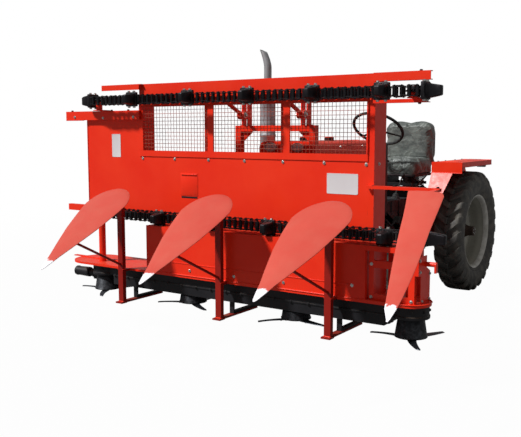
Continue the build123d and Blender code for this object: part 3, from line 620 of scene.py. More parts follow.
def finger_chain(name, z, front_xs, end_reach):
    parts = []
    for outer in (True, False):
        model = chain_link(outer)
        places = [chain_place(PITCH * (i + 0.5)) for i in range(0 if outer else 1, LINKS, 2)]
        parts.append(repeated("links", model, [at(x, y, z, turn) for x, y, turn in places]))
    front = CHAIN_Y - CHAIN_R - 8
    places = [at(x, front, z) for x in front_xs]
    places.append(at(LEFT_SPROCKET - CHAIN_R - 8, CHAIN_Y, z, -90))
    longer = Matrix.Scale(end_reach / 92, 4, Y)
    places.append(at(RIGHT_SPROCKET + CHAIN_R + 8, CHAIN_Y, z, 90) @ longer)
    fingers = repeated("fingers", chain_finger(), places)
    chain = placed(joined(name + "_links", parts + [fingers] + sprocket(z)), "header", CHAIN, "chain_steel")
    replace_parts(chain, name)
    heads = []
    for place in places:
        for side in (1, -1):
            for x in (-24, 22):
                at_foot = place @ Vector((x * MM, -4 * MM, side * 47 * MM))
                heads.append((at_foot / MM, (0, 0, side)))
    bolts(name + "_bolts", "header", heads, 9, 11)


finger_chain("upper_chain", 1622, (-750, -270, 190, 640, 1070), 92)
finger_chain("lower_chain", 838, (-520, -80, 347, 620, 1100), 134)


# Header: dividers

TIP_Y, TIP_Z = -2237.5, 590.0
LEAF_LENGTH = 806.0


def divider(name, tip_x, slope, rows, crown):
    """Sheet that rises from its tip. Rows are (along, left edge, right edge); a grid primitive is
    drawn out row by row, crowned a little and given the sheet's thickness."""
    across = 12
    bpy.ops.object.select_all(action="DESELECT")
    bpy.ops.mesh.primitive_grid_add(x_subdivisions=across, y_subdivisions=len(rows) - 1, size=1)
    obj = bpy.context.object
    obj.name = obj.data.name = name
    up, along = math.sin(math.radians(slope)), math.cos(math.radians(slope))
    for vertex in obj.data.vertices:
        row = rows[round((vertex.co.y + 0.5) * (len(rows) - 1))]
        share = vertex.co.x + 0.5
        lift = 2.0 + crown * (1 - (2 * share - 1) ** 2) * min(1.0, (row[2] - row[1]) / 200)
        x = tip_x + row[1] + (row[2] - row[1]) * share
        vertex.co = Vector((x, TIP_Y + row[0] * along - lift * up, TIP_Z + row[0] * up + lift * along)) * MM
    obj.data.update()
    modify(obj, "SOLIDIFY", thickness=3.2 * MM, offset=0.0)
    return bevelled(obj, 1.1, 2, 50)


def half_rows():
    """Outline of the three inner dividers: a long taper with a round top."""
    widths = [(0, 4), (12, 12), (50, 24), (88, 35), (125, 45), (210, 75), (295, 103), (380, 130), (450, 146),
              (520, 160), (590, 172), (650, 175)]
    top, radius = LEAF_LENGTH, 192.3
    for i in range(9):
        a = math.radians(8 + 10 * i)
        widths.append((top - radius + radius * math.sin(a), radius * math.cos(a) * 0.93))
    widths.append((top, 10))
    return [(a, -w, w) for a, w in sorted(widths)]


def dividers():
    sheets = []
    for x, lean in ((-745, 0), (45, 35), (790, 75)):
        rows = [(a, left + lean * a / LEAF_LENGTH, right + lean * a / LEAF_LENGTH)
                for a, left, right in half_rows()]
        sheets.append(divider("sheet", x, 33, rows, 9))
    edges = [(0, -6, 2), (20, -14, 8), (70, -40, 15), (130, -53, 20), (270, -85, 22), (380, -108, 19),
             (490, -130, 13), (560, -143, 8), (650, -158, 6), (740, -176, 4), (806, -191, 2), (820, -194, -4),
             (832, -196, -21), (838, -196, -34)]
    sheets.append(divider("sheet", 1490, 38, edges, 5))
    piece = group("divider_sheets", sheets, "header", CORAL, "coral_paint", 50)
    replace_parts(piece, "dividers")


dividers()


# Header: bell cutters

CUTTER_Y = -1350.0


def blade_curve(x, y, z):
    """Bends a straight blade along X into a hook that droops at its tip."""
    reach = max(0.0, (x - 70) / 166)
    half = 25 - 14 * reach
    return x, y / 25 * half + 26 * reach ** 2 - 8 * reach, z - 5 * reach ** 3


def cutter(i, x, turn, roof):
    """Smooth bell with a rolled rim, its shaft and three forged blades bolted under it."""
    y, z = CUTTER_Y, 288.0
    top = roof - 6 - z
    top_r = 90 - top * 0.15
    outline = [(0, 60), (-2, 84), (0, 91), (5, 92), (9, 88.5), (top - 5, top_r), (top, top_r - 4), (top, 25),
               (150, 25), (150, 0)]
    bell = spun("bell", outline, (x, y, z), Z, 48)
    boss = [(-16, 0), (-16, 18), (-13, 22), (-8, 24), (-8, 34), (0, 38), (2, 60)]
    hub = spun("hub", boss, (x, y, z), Z, 32)
    blade = block("blade", 48, 236, -25, 25, -8, 0)
    sliced(blade, 0, 8)
    shaped(blade, blade_curve)
    edit(blade)
    pick(lambda f: f.normal.y < -0.7 and f.calc_center_median().x > 0.075)
    scale_pick(1, 1, 0.3, (0, 0, -8))
    leave()
    bevelled(blade, 1.0, 1)
    turns = [turn + 120 * k for k in range(3)]
    blades = repeated("blades", blade, [at(x, y, z, a) for a in turns])
    body = f"cutter_{i}"
    piece = group(f"bell_cutter_{i}", [bell, hub], body, BELL, "blade_steel")
    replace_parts(piece, body)
    piece = placed(blades, body, BLADE, "blade_steel")
    piece.name = piece.data.name = f"cutter_blades_{i}"
    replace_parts(piece, body)
    heads = [(at(x, y, z, a) @ Vector((reach * MM, side * MM, -8 * MM)) / MM, (0, 0, -1))
             for a in turns for reach, side in ((62, 0), (92, -3))]
    bolts(f"cutter_bolts_{i}", body, heads, 6.5, 8, BLADE)


cutter(1, -1100, 180, 398)
cutter(2, -310, 203, 348)
cutter(3, 490, 223, 348)
cutter(4, 1230, 178, 398)


# Header: bolts, plates and hatch on the panel

PANEL_Y, SKIRT_Y = -1300.0, -1480.0

panel_heads = [((-784 + 286 * k, PANEL_Y, 1225), -Y) for k in range(6)] + [((918, PANEL_Y, 1222), -Y)]
panel_heads += [((x, PANEL_Y - 30, z), -Y) for x, z in ((-1130, 1504), (-840, 1508), (-1420, 1512))]
skirt_spots = ((-430, 730), (-330, 612), (-230, 522), (120, 522), (480, 525), (930, 560))
panel_heads += [((x, SKIRT_Y, z), -Y) for x, z in skirt_spots]
panel_heads += [((968, PANEL_Y + 60, 1225), X), ((968, PANEL_Y + 60, 560), X), ((968, PANEL_Y + 60, 1640), X)]
bolts("panel_bolts", "header", panel_heads, 7, 10)
rail_spots = ((-1060, 1553, Z), (-900, 1553, Z), (-1460, 1553, Z), (1240, 1730, Z), (1235, 1563, -Z),
              (1100, 1106, Z), (1350, 1106, Z))
bolts("rail_bolts", "header", [((x, PANEL_Y - 15, z), look) for x, z, look in rail_spots], 8, 11, BLACK)


def label_plate(name, x0, x1, z0, z1, rim):
    """Blank pressed plate, held by four rivets. It carries no text."""
    plate = block("plate", x0, x1, PANEL_Y - 1.6, PANEL_Y, z0, z1)
    rounded(stepped(plate, -Y, rim, (0, 0.9, 0)), 1, 5, 3)
    rivet = [(0, 0), (0, 3), (-1.2, 2.4), (-1.8, 0)]
    rivets = []
    for x in (x0 + rim * 0.5, x1 - rim * 0.5):
        for z in (z0 + rim * 0.5, z1 - rim * 0.5):
            rivets.append(spun("rivet", rivet, (x, PANEL_Y - 1.6, z), Y, 10))
    return joined(name, [plate] + rivets)


placed(label_plate("blank_plate_right", 666, 869, 1048, 1167, 9), "header", LABEL, "rod_chrome")
placed(label_plate("blank_plate_left", -1077, -994, 1230, 1391, 5), "header", LABEL, "rod_chrome")


def hatch():
    """Shallow cover plate with its lip; the finger slot under it is drawn below as a black strip of painted
    shade.
    """
    cover = block("hatch_cover", -445, -301, PANEL_Y - 2.5, PANEL_Y, 985, 1134)
    bevelled(cover, 1.2, 2)
    lip = block("hatch_lip", -440, -306, PANEL_Y - 9, PANEL_Y - 2, 1122, 1127)
    narrowed(lip, -Y, (0.94, 1, 0.6), (-373, PANEL_Y, 1124))
    return joined("panel_hatch", [cover, lip])


placed(hatch(), "header", RED, "red_paint")
# A thin black strip on the panel under the hatch: painted shade standing in for the dark finger slot.
slot = block("hatch_slot_painted_shade", -440, -306, PANEL_Y - 1.2, PANEL_Y, 968, 980)
placed(bevelled(slot, 0.5, 1), "header", BLACK, "black_steel")


# Header: woven window mesh

def woven_mesh():
    """Wires of 3 mm at 25 mm, crimped over and under each other."""
    x0, x1, z0, z1, pitch = -780.0, 925.0, 1272.0, 1583.0, 25.0
    y = PANEL_Y + 3
    columns = [x0 + pitch * i for i in range(1, int((x1 - x0) / pitch) + 1)]
    rows = [z0 + 6 + pitch * i for i in range(13) if z0 + 6 + pitch * i < z1]
    parts = []
    for turn in (0, 1):
        standing = bar("wire", (0, y, z0), (0, y, z1), 1.5, 6)
        sliced(standing, 2, 25)
        phase = math.pi * turn
        shaped(standing, lambda x, yy, z: (x, yy + 1.5 * math.cos((z - z0 - 6) / pitch * math.pi + phase), z))
        parts.append(repeated("wires", standing, [at(x, 0, 0) for x in columns[turn::2]]))
        lying = bar("wire", (x0, y, 0), (x1, y, 0), 1.5, 6)
        sliced(lying, 0, 136)
        shaped(lying, lambda x, yy, z: (x, yy - 1.5 * math.cos((x - x0) / pitch * math.pi + phase), z))
        parts.append(repeated("wires", lying, [at(0, 0, z) for z in rows[turn::2]]))
    return joined("woven_mesh", parts)


mesh_piece = placed(woven_mesh(), "header", WIRE, "red_paint", 60)
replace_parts(mesh_piece, "window_mesh")


# Header: weld beads, gussets and other fabricated details

def bead(p, q, r=3.5):
    """Fillet weld: a round bar pinched into ripples along its run."""
    p, q = Vector(p), Vector(q)
    steps = max(4, int((q - p).length / 7))
    rope = bar("bead", p, q, r, 6)
    axis = max(range(3), key=lambda k: abs((q - p)[k]))
    sliced(rope, axis, steps)

    def ripple(x, y, z):
        point = Vector((x, y, z))
        share = (point - p).dot(q - p) / (q - p).length_squared
        middle = p + (q - p) * share
        return middle + (point - middle) * (1 + 0.25 * math.sin(share * steps * math.pi))
    return shaped(rope, ripple)


def header_welds():
    runs = [((-1510, -1330, 1490), (-1325, -1330, 1490)), ((-1322, -1301, 1488), (-812, -1301, 1488)),
            ((-1322, -1301, 853), (-1322, -1301, 1486)), ((968, -1331, 1087), (968, -1299, 1087)),
            ((969, -1331, 1107), (969, -1299, 1107)), ((928, -1307, 1283), (928, -1307, 1572))]
    for x in (-775, 50, 815):
        runs += [((x - 21, -1519, 486), (x + 21, -1519, 486)), ((x - 22, -1551, 266), (x + 22, -1551, 266)),
                 ((x - 22, -1550, 486), (x - 22, -1520, 486)), ((x + 22, -1550, 486), (x + 22, -1520, 486))]
        runs += [((x - 21, -1551, 1024), (x + 21, -1551, 1024))]
    for x in (-1120, 1230):
        runs += [((x - 17, -1392, 487), (x + 17, -1392, 487)), ((x - 17, -1358, 487), (x + 17, -1358, 487))]
    for x in (1035, 1270):
        runs += [((x - 15, -1456, 487), (x + 15, -1456, 487)), ((x - 15, -1456, 669), (x - 15, -1456, 706))]
    return joined("header_welds", [bead(p, q) for p, q in runs])


placed(header_welds(), "header", RED, "red_paint", 60)


# Tractor: tyres and rims

REAR_X, REAR_Y, REAR_R = 588.0, 1400.0, 530.0
FRONT_X, FRONT_Y, FRONT_R = 520.0, -130.0, 345.0

# Half sections of the carcass, from the bead to the crown, as (across, radius).
REAR_HALF = [(90, 312), (93, 328), (106, 344), (104, 352), (112, 360), (121, 388), (125, 415),
             (122, 448), (116, 470), (106, 487), (92, 498), (60, 503), (0, 504)]
FRONT_HALF = [(47, 190), (49, 201), (59, 222), (57, 228), (62, 240), (65, 264), (63, 292),
              (58, 314), (51, 328), (44, 336), (40, 341), (28, 344), (24, 334), (17, 334), (13, 345),
              (0, 345)]


def value_at(table, a):
    """Value at a in a table of (a, value) points, straight between them."""
    for (a0, v0), (a1, v1) in zip(table, table[1:]):
        if a <= a1:
            return v0 + (v1 - v0) * (a - a0) / (a1 - a0)
    return table[-1][1]


def outward(obj):
    """Turns every face outwards."""
    edit(obj)
    bpy.ops.mesh.select_all(action="SELECT")
    bpy.ops.mesh.normals_make_consistent(inside=False)
    leave()
    return obj


def carcass(half, centre, steps):
    outline = [(-a, r) for a, r in half] + list(reversed(half[:-1])) + [(-half[0][0], half[0][1])]
    return spun("carcass", outline, centre, X, steps)


def tread_lug(side):
    """Tread bar at the top of a rear wheel: from past the crown's middle it curves back and wraps
    over the shoulder, wider at its root."""
    length, sunk = 121, 6
    low = [(across, radius - sunk) for across, radius in reversed(REAR_HALF)]
    high = [(0, 530), (72, 530), (94, 526), (107, 513), (116, 494), (122, 470)]
    lug = block("lug", -8, length, -0.5, 0.5, 0, 1)
    sliced(lug, 0, 10)

    def wrap(x, y, z):
        reach = abs(x) / length
        width = (66 - 13 * z) * (1 + 0.12 * reach)
        angle = (100 * reach ** 1.3 + y * width) / REAR_R
        r = value_at(high if z > 0.5 else low, abs(x))
        return side * x, r * math.sin(angle), r * math.cos(angle)
    shaped(lug, wrap)
    return bevelled(outward(lug), 3.0, 2, 40)


def shoulder_block(side):
    """Small block of a front tyre's shoulder."""
    low, high = [(40, 330), (52, 322), (62, 292)], [(40, 343), (50, 339), (57, 327), (64, 296)]
    lug = block("block", 42, 62, -0.5, 0.5, 0, 1)
    sliced(lug, 0, 3)

    def wrap(x, y, z):
        r = value_at(high if z > 0.5 else low, x)
        angle = y * (30 - 4 * z) / FRONT_R
        return side * x, r * math.sin(angle), r * math.cos(angle)
    return bevelled(outward(shaped(lug, wrap)), 1.5, 1, 40)


def tyre(name, half, centre, lug, lugs, steps):
    parts = [carcass(half, centre, steps)]
    for side in (1, -1):
        places = [at(*centre, (k + 0.25 * (1 + side)) * 360 / lugs, "X") for k in range(lugs)]
        parts.append(repeated("lugs", lug(side), places))
    return joined(name, parts)


def wheel_bolts(name, body, side, centre, rings):
    """Rings of bolts on a wheel's disc: count, radius, distance out from the wheel's middle, size."""
    for number, (count, radius, out, size) in enumerate(rings):
        disc = Vector(centre) + X * side * out
        heads = [(spot, X * side) for spot, _ in circled(disc, X, radius, count)]
        bolts(f"{name}_{number}", body, heads, size, size * 1.35)


# Turned outlines of the wheels' steel, as (out from the wheel's middle, radius).
REAR_FACE = [(-28, 0), (-28, 34), (-32, 38), (-32, 54), (-44, 60), (-44, 96), (-64, 102), (-64, 145),
             (-58, 168), (-42, 192), (-40, 216), (-52, 244), (-62, 272), (-60, 290), (-30, 297),
             (0, 290), (30, 295), (64, 303), (80, 306), (90, 315), (97, 321), (98, 325), (90, 326),
             (82, 312), (0, 311), (-82, 312), (-90, 326), (-98, 325), (-96, 320), (-88, 312),
             (-80, 302), (-72, 292), (-72, 272), (-62, 244), (-50, 216), (-52, 192), (-68, 168),
             (-74, 145), (-74, 90), (-122, 88), (-122, 0)]
REAR_HUB = [(76, 0), (76, 32), (70, 40), (22, 44), (-14, 60), (-26, 88), (-42, 94), (-46, 97), (-46, 0)]
REAR_LIP = [(60, 299), (80, 303), (91, 312), (98, 320), (99, 325), (94, 327), (86, 322), (80, 309),
            (60, 304), (60, 299)]
FRONT_FACE = [(34, 0), (34, 22), (30, 30), (18, 36), (18, 44), (4, 48), (4, 88), (10, 104), (14, 124),
              (8, 148), (-2, 168), (0, 177), (18, 179), (40, 183), (48, 190), (54, 198), (54, 202),
              (48, 203), (43, 190), (-43, 190), (-48, 203), (-54, 202), (-53, 198), (-46, 188),
              (-30, 180), (-10, 176), (-10, 168), (0, 148), (6, 124), (2, 104), (-6, 88), (-10, 45),
              (-74, 45), (-74, 19), (-10, 19), (-10, 0)]


def turned(name, outline, side, middle, steps):
    """Turned wheel piece for one side of the tractor."""
    return spun(name, [(side * out, radius) for out, radius in outline], middle, X, steps)


def rear_wheel(word, side):
    middle = (side * REAR_X, REAR_Y, REAR_R)
    body = f"rear_wheel_{word}"
    tread = tyre(f"rear_tyre_{word}_tread", REAR_HALF, middle, tread_lug, 24, 120)
    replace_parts(placed(tread, body, TYRE, "tyre", 50), f"rear_tyre_{word}")
    rim = turned(f"rear_rim_{word}_turned", REAR_FACE, side, middle, 72)
    valve = bar("valve", Vector(middle) + Vector((side * 10, 0, 288)),
                Vector(middle) + Vector((side * 48, 0, 280)), 5, 10)
    rim = group(f"rear_rim_{word}_turned", [rim, valve], body, RIM, "rim_paint", 30)
    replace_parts(rim, f"rear_rim_{word}")
    rings = ((8, 78, -24, 9), (8, 272, -62, 9), (6, 24, 76, 4))
    wheel_bolts(f"rear_wheel_bolts_{word}", body, side, middle, rings)
    hub = turned(f"rear_hub_{word}", REAR_HUB, side, middle, 48)
    placed(hub, body, HUB, "rim_paint", 30)
    lip = turned(f"rear_rim_edge_{word}", REAR_LIP, side, middle, 72)
    placed(lip, body, RIM_EDGE, "rim_paint", 50)


def front_wheel(word, side):
    middle = (side * FRONT_X, FRONT_Y, FRONT_R)
    body = f"front_wheel_{word}"
    tread = tyre(f"front_tyre_{word}_tread", FRONT_HALF, middle, shoulder_block, 40, 96)
    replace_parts(placed(tread, body, TYRE, "tyre", 40), f"front_tyre_{word}")
    rim = turned(f"front_rim_{word}_turned", FRONT_FACE, side, middle, 64)
    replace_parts(placed(rim, body, RIM, "rim_paint", 30), f"front_rim_{word}")
    wheel_bolts(f"front_wheel_bolts_{word}", body, side, middle, ((6, 68, 4, 8),))


for word, side in (("left", 1), ("right", -1)):
    rear_wheel(word, side)
    front_wheel(word, side)


# Tractor: seat

# Frames that the cloth is given to fill out, and the most that a point may move, in metres.
SEAT_FRAMES, SEAT_SWELL = 20, 0.024


def seat():
    """Cushion and backrest in a loose film: the CAD solid's copy, blown up a little as cloth."""
    pad = copied(frame["nodes"]["seat_cushion"], Matrix.Identity(4))
    pad.name = pad.data.name = "seat_pads"
    modify(pad, "REMESH", mode="VOXEL", voxel_size=7 * MM)
    rest = [v.co.copy() for v in pad.data.vertices]
    lone(pad)
    cloth = pad.modifiers.new("Cloth", "CLOTH")
    cloth.settings.quality = 6
    cloth.settings.use_pressure = True
    cloth.settings.uniform_pressure_force = 4.0
    cloth.settings.effector_weights.gravity = 0.0
    cloth.point_cache.frame_start = 1
    cloth.point_cache.frame_end = SEAT_FRAMES
    for step in range(1, SEAT_FRAMES + 1):
        bpy.context.scene.frame_set(step)
    bpy.ops.object.modifier_apply(modifier=cloth.name)
    bpy.context.scene.frame_set(1)
    for vertex, start in zip(pad.data.vertices, rest):
        moved = vertex.co - start
        if moved.length > SEAT_SWELL:
            vertex.co = start + moved.normalized() * SEAT_SWELL
    pad.data.update()
    modify(pad, "SUBSURF", levels=1, render_levels=1)
    piece = placed(pad, "chassis", SEAT, "seat_cover", 80)
    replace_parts(piece, "seat_cushion")


seat()


def seat_details():
    """The moulded shell behind the backrest, and the pan with its springs and crossed rods."""
    shell = rounded(block("seat_shell", -215, 215, 1553, 1572, 1130, 1470), 1, 80, 6)
    stepped(shell, Y, 30, (0, -6, 0))
    pan = block("seat_pan", -225, 225, 1085, 1490, 1018, 1034)
    base = joined("seat_shell", [bevelled(shell, 4, 2), bevelled(pan, 5, 2)])
    placed(base, "chassis", SEAT_BASE, "wheel_plastic")
    coils = []
    for x in (-150, 150):
        for y in (1160, 1410):
            turns = spun("coil", [(-4, 24), (0, 28), (4, 24), (0, 20), (-4, 24)], (0, 0, 0), Z, 24)
            coils.append(repeated("coil", turns, [at(x, y, 908 + 13 * k, 0) for k in range(8)]))
    rods = [bar("rod", (x, 1150, 902), (x, 1430, 1008), 8, 12) for x in (-190, 190)]
    rods += [bar("rod", (x, 1430, 902), (x, 1150, 1008), 8, 12) for x in (-172, 172)]
    group("seat_suspension", coils + rods, "chassis", BLACK, "black_steel")


seat_details()


# Tractor: steering wheel, dash and controls

# The way up the steering column.
COLUMN = Vector((0, 205, 270))


def steering_wheel():
    """Rim with finger swells inside, three flat spokes and a domed cap, made flat and then tilted."""
    wheel_r, grip_r = 215, 12.5
    bpy.ops.object.select_all(action="DESELECT")
    bpy.ops.mesh.primitive_torus_add(major_radius=wheel_r * MM, minor_radius=grip_r * MM,
                                     major_segments=144, minor_segments=16)
    ring = settle(bpy.context.object, "wheel_rim")

    def swell(x, y, z):
        r = math.hypot(x, y)
        push = 1.8 * max(0.0, (wheel_r - r) / grip_r) * math.sin(24 * math.atan2(y, x))
        return x * (1 - push / r), y * (1 - push / r), z
    shaped(ring, swell)
    root, tip = 26, 212
    spoke = block("spoke", root, tip, -11, 11, -3.5, 3.5)
    sliced(spoke, 0, 6)

    def dip(x, y, z):
        share = (x - root) / (tip - root)
        return x, y * (1.25 - 0.4 * share), z - 14 * (1 - share)
    shaped(spoke, dip)
    bevelled(spoke, 2, 2)
    spokes = repeated("spokes", spoke, [at(0, 0, 0, 90 + 120 * k) for k in range(3)])
    dome = [(-32, 0), (-32, 24), (-20, 34), (-4, 38), (2, 36), (8, 26), (11, 0)]
    boss = spun("boss", dome, (0, 0, 0), Z, 40)
    wheel = joined("steering_wheel_moulded", [ring, spokes, boss])
    wheel.data.transform(aligned((0, 790, 1432), COLUMN))
    wheel.data.update()
    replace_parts(placed(wheel, "chassis", GRIP, "wheel_plastic"), "steering_wheel")


steering_wheel()


def dash():
    """Bezels, faces and a switch on the dash's rear face, with the column's rubber boot."""
    rims, faces = [], []
    for x, r in ((-110, 44), (110, 44), (0, 24)):
        z = 1215 if x else 1235
        rims.append(spun("bezel", [(0, r - 6), (0, r + 4), (8, r + 2), (10, r - 2), (6, r - 6), (0, r - 6)],
                         (x, 560, z), Y, 32))
        faces.append(spun("face", [(0, 0), (0, r - 5), (3, r - 6), (3.5, 0)], (x, 560, z), Y, 32))
    boot = spun("boot", [(0, 46), (8, 46), (14, 38), (22, 42), (30, 34), (38, 38), (46, 30), (60, 25)],
                (0, 560, 1130), COLUMN.normalized(), 32)
    levers = [bar("lever", (x, 566, 1120), (x + 14, 640, 1165), 5, 12) for x in (-150, 150)]
    knob = [(-13, 0), (-11, 8), (0, 13), (11, 8), (13, 0)]
    knobs = [spun("knob", knob, (x + 14, 640, 1165), Z, 20) for x in (-150, 150)]
    group("dash_bezels", rims + [boot] + levers + knobs, "chassis", GRIP, "wheel_plastic")
    group("dash_faces", faces, "chassis", LABEL, "rod_chrome")


dash()


# Tractor: exhaust

def exhaust():
    """Rolled muffler with pressed bands and end cones, and a pipe that bends to a slash-cut mouth."""
    x, y = -300, -470
    profile = [(1050, 26), (1058, 34), (1068, 52), (1078, 57), (1100, 57), (1104, 59), (1112, 59),
               (1116, 57), (1372, 57), (1376, 60), (1386, 60), (1390, 57), (1650, 57), (1654, 59),
               (1662, 59), (1666, 57), (1684, 57), (1694, 51), (1706, 36), (1714, 30)]
    drum = spun("drum", profile, (x, y, 0), Z, 48)
    pipe = bar("pipe", (x, y, 1690), (x, y, 2000), 28, 32)
    sliced(pipe, 2, 20)
    edit(pipe)
    pick(facing(Z))
    bpy.ops.mesh.inset(thickness=3 * MM)
    bpy.ops.mesh.extrude_region_move(TRANSFORM_OT_translate={"value": (0, 0, -0.06)})
    leave()

    def bend(px, py, pz):
        t = max(0.0, (pz - 1880) / 120)
        lean = 38 * t ** 1.5
        return px - lean, py, pz - (px - x) * 0.45 * t - 2 * t
    shaped(pipe, bend)
    clamp = spun("clamp", [(1716, 28), (1716, 32), (1734, 32), (1734, 28)], (x, y, 0), Z, 32)
    ear = bevelled(block("ear", x + 29, x + 46, y - 4, y + 4, 1717, 1733), 2, 2)
    elbow = bar("elbow", (x, y, 1010), (-196, y, 1010), 24, 32)
    low = bar("low", (x, y, 1010), (x, y, 1056), 24, 32)
    ball = [(-24, 0), (-20, 13), (-12, 21), (0, 24), (12, 21), (20, 13), (24, 0)]
    knee = spun("knee", ball, (x, y, 1010), X, 32)
    flange = bevelled(block("flange", -226, -218, y - 42, y + 42, 972, 1048), 6, 3)
    whole = joined("exhaust_rolled", [drum, pipe, clamp, ear, elbow, low, knee, flange])
    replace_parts(placed(whole, "chassis", EXHAUST, "exhaust_steel", 40), "exhaust")
    heads = [((-226, y + a, z), -X) for a in (-30, 30) for z in (984, 1036)]
    bolts("exhaust_bolts", "chassis", heads, 6, 8)


exhaust()


# Tractor: hood

def louvre():
    """Pressed louvre, 120 high, that stands on the plane x = 0 and leans back."""
    piece = block("louvre", 0, 9, -13, 13, -60, 60)
    return bevelled(narrowed(piece, X, (1, 0.55, 0.9), (0, 8, 0)), 2.5, 3)


def hood_details():
    """Louvres, creases and latches of the sides, the grille with its lamps, and two filler caps."""
    side_x = 220
    rows = [at(side_x - 1, -480 + 62 * k, 1010) for k in range(7)]
    rows += [at(side_x - 1, 90 + 62 * k, 1150) for k in range(4)]
    rows += [at(1 - side_x, -480 + 62 * k, 1180, 180) for k in range(9)]
    placed(repeated("hood_louvres", louvre(), rows), "chassis", RED, "red_paint")
    creases = []
    for side in (1, -1):
        for z in (1262, 868):
            strip = block("crease", side * side_x - 2, side * side_x + 4, -690, 412, z - 9, z + 9)
            creases.append(bevelled(narrowed(strip, X * side, (1, 1, 0.5), (0, 0, z)), 2, 2))
    seam = bevelled(block("seam", -7, 7, -690, 412, 1339, 1343.5), 2, 2)
    frame_bars = [block("grille_frame", x, x + 14, -706, -698, 860, 1270) for x in (-180, 166)]
    frame_bars += [block("grille_frame", -180, 180, -706, -698, z, z + 14) for z in (860, 1256)]
    frame_bars = [bevelled(piece, 3, 2) for piece in frame_bars]
    group("hood_pressings", creases + [seam] + frame_bars, "chassis", RED, "red_paint")
    slat = bevelled(block("slat", -166, 166, -704, -699, -4, 4), 1.5, 2)
    slats = repeated("grille_slats", slat, [at(0, 0, 880 + 18 * k, 0) for k in range(21)])
    placed(slats, "chassis", BLACK, "black_steel")
    lamps, glass = [], []
    for x in (-110, 110):
        shell = [(0, 0), (0, 40), (-12, 48), (-24, 50), (-27, 47), (-22, 44)]
        lamps.append(spun("lamp", shell, (x, -700, 1305), Y, 36))
        glass.append(spun("glass", [(-22, 45), (-27, 30), (-30, 0)], (x, -700, 1305), Y, 36))
    for lamp in lamps + glass:
        shaped(lamp, lambda x, y, z: (x, y, 1300 + (z - 1305) * 0.62))
    group("lamp_shells", lamps, "chassis", ZINC, "rod_chrome")
    group("lamp_lenses", glass, "chassis", CLEAR, "rod_chrome")
    latches = []
    for side in (1, -1):
        for y in (-620, 330):
            latch = block("latch", side * side_x - 1, side * side_x + 7, y - 10, y + 10, 835, 905)
            latches.append(bevelled(narrowed(latch, X * side, (1, 0.7, 0.7), (0, y, 870)), 2, 2))
    group("hood_latches", latches, "chassis", BLACK, "black_steel")
    heads = [((side * side_x, y, z), X * side)
             for side in (1, -1) for y in (-660, -300, 60, 395) for z in (840, 1300)]
    bolts("hood_bolts", "chassis", heads, 6, 9)
    caps = []
    for x, y, z, r in ((40, -520, 1370, 26), (60, -180, 1368, 32)):
        profile = [(-30, r + 6), (-26, r + 6), (-24, r), (-4, r + 1), (0, r - 3), (3, r - 12), (3, 0)]
        caps.append(spun("cap", profile, (x, y, z), Z, 36))
        rib = bevelled(block("grip", x + r - 2, x + r + 3, y - 3, y + 3, z - 22, z - 3), 1, 1)
        caps.append(repeated("grips", rib, [at(x, y, 0, 30 * k) @ at(-x, -y, 0) for k in range(12)]))
    group("hood_caps", caps, "chassis", BLACK, "black_steel")


hood_details()


# Tractor: fenders and footboards

FENDER_IN, FENDER_OUT, FENDER_Z = 440.0, 704.0, 1155.0


def fender_details():
    """Rolled wire edges, a rib pressed in each top, lamps under the rear edges and bracket bolts."""
    rolls, lamps, glass, heads = [], [], [], []
    for side in (1, -1):
        out, inner = side * (FENDER_OUT - 2), side * (FENDER_IN + 2)
        front, rear = 920, 1698
        rolls.append(bar("roll", (out, front, FENDER_Z - 40), (out, rear, FENDER_Z - 40), 4.5, 12))
        rolls.append(bar("roll", (inner, front, 1065), (out, front, 1065), 4.5, 12))
        rolls.append(bar("roll", (out, front, 1065), (out, front, FENDER_Z - 2), 4.0, 12))
        rolls.append(bar("roll", (inner, rear, FENDER_Z - 2), (out, rear, FENDER_Z - 2), 4.5, 12))
        x0, x1 = sorted((side * 500, side * 640))
        rib = block("rib", x0, x1, 960, 1660, FENDER_Z - 1, FENDER_Z + 5)
        narrowed(rib, Z, (0.86, 0.97, 1), ((x0 + x1) / 2, 1310, FENDER_Z))
        rolls.append(bevelled(rib, 3, 3))
        lamp_x = side * 620
        box = block("lamp_box", lamp_x - 38, lamp_x + 38, 1654, 1694, FENDER_Z - 66, FENDER_Z - 8)
        lamps.append(bevelled(box, 7, 3))
        face = block("lens", lamp_x - 31, lamp_x + 31, 1692, 1700, FENDER_Z - 59, FENDER_Z - 15)
        glass.append(bevelled(face, 4, 3))
        for y in (1010, 1180, 1420, 1600):
            heads.append(((side * 462, y, FENDER_Z), Z))
        for y, z in ((960, 620), (1090, 620), (1600, 640), (1640, 760)):
            heads.append(((side * FENDER_IN, y, z), X * -side))
    group("fender_edges", rolls, "chassis", RED, "red_paint")
    group("fender_lamps", lamps, "chassis", BLACK, "black_steel")
    group("fender_lenses", glass, "chassis", AMBER, "red_paint")
    bolts("fender_bolts", "chassis", heads, 6.5, 9)


fender_details()


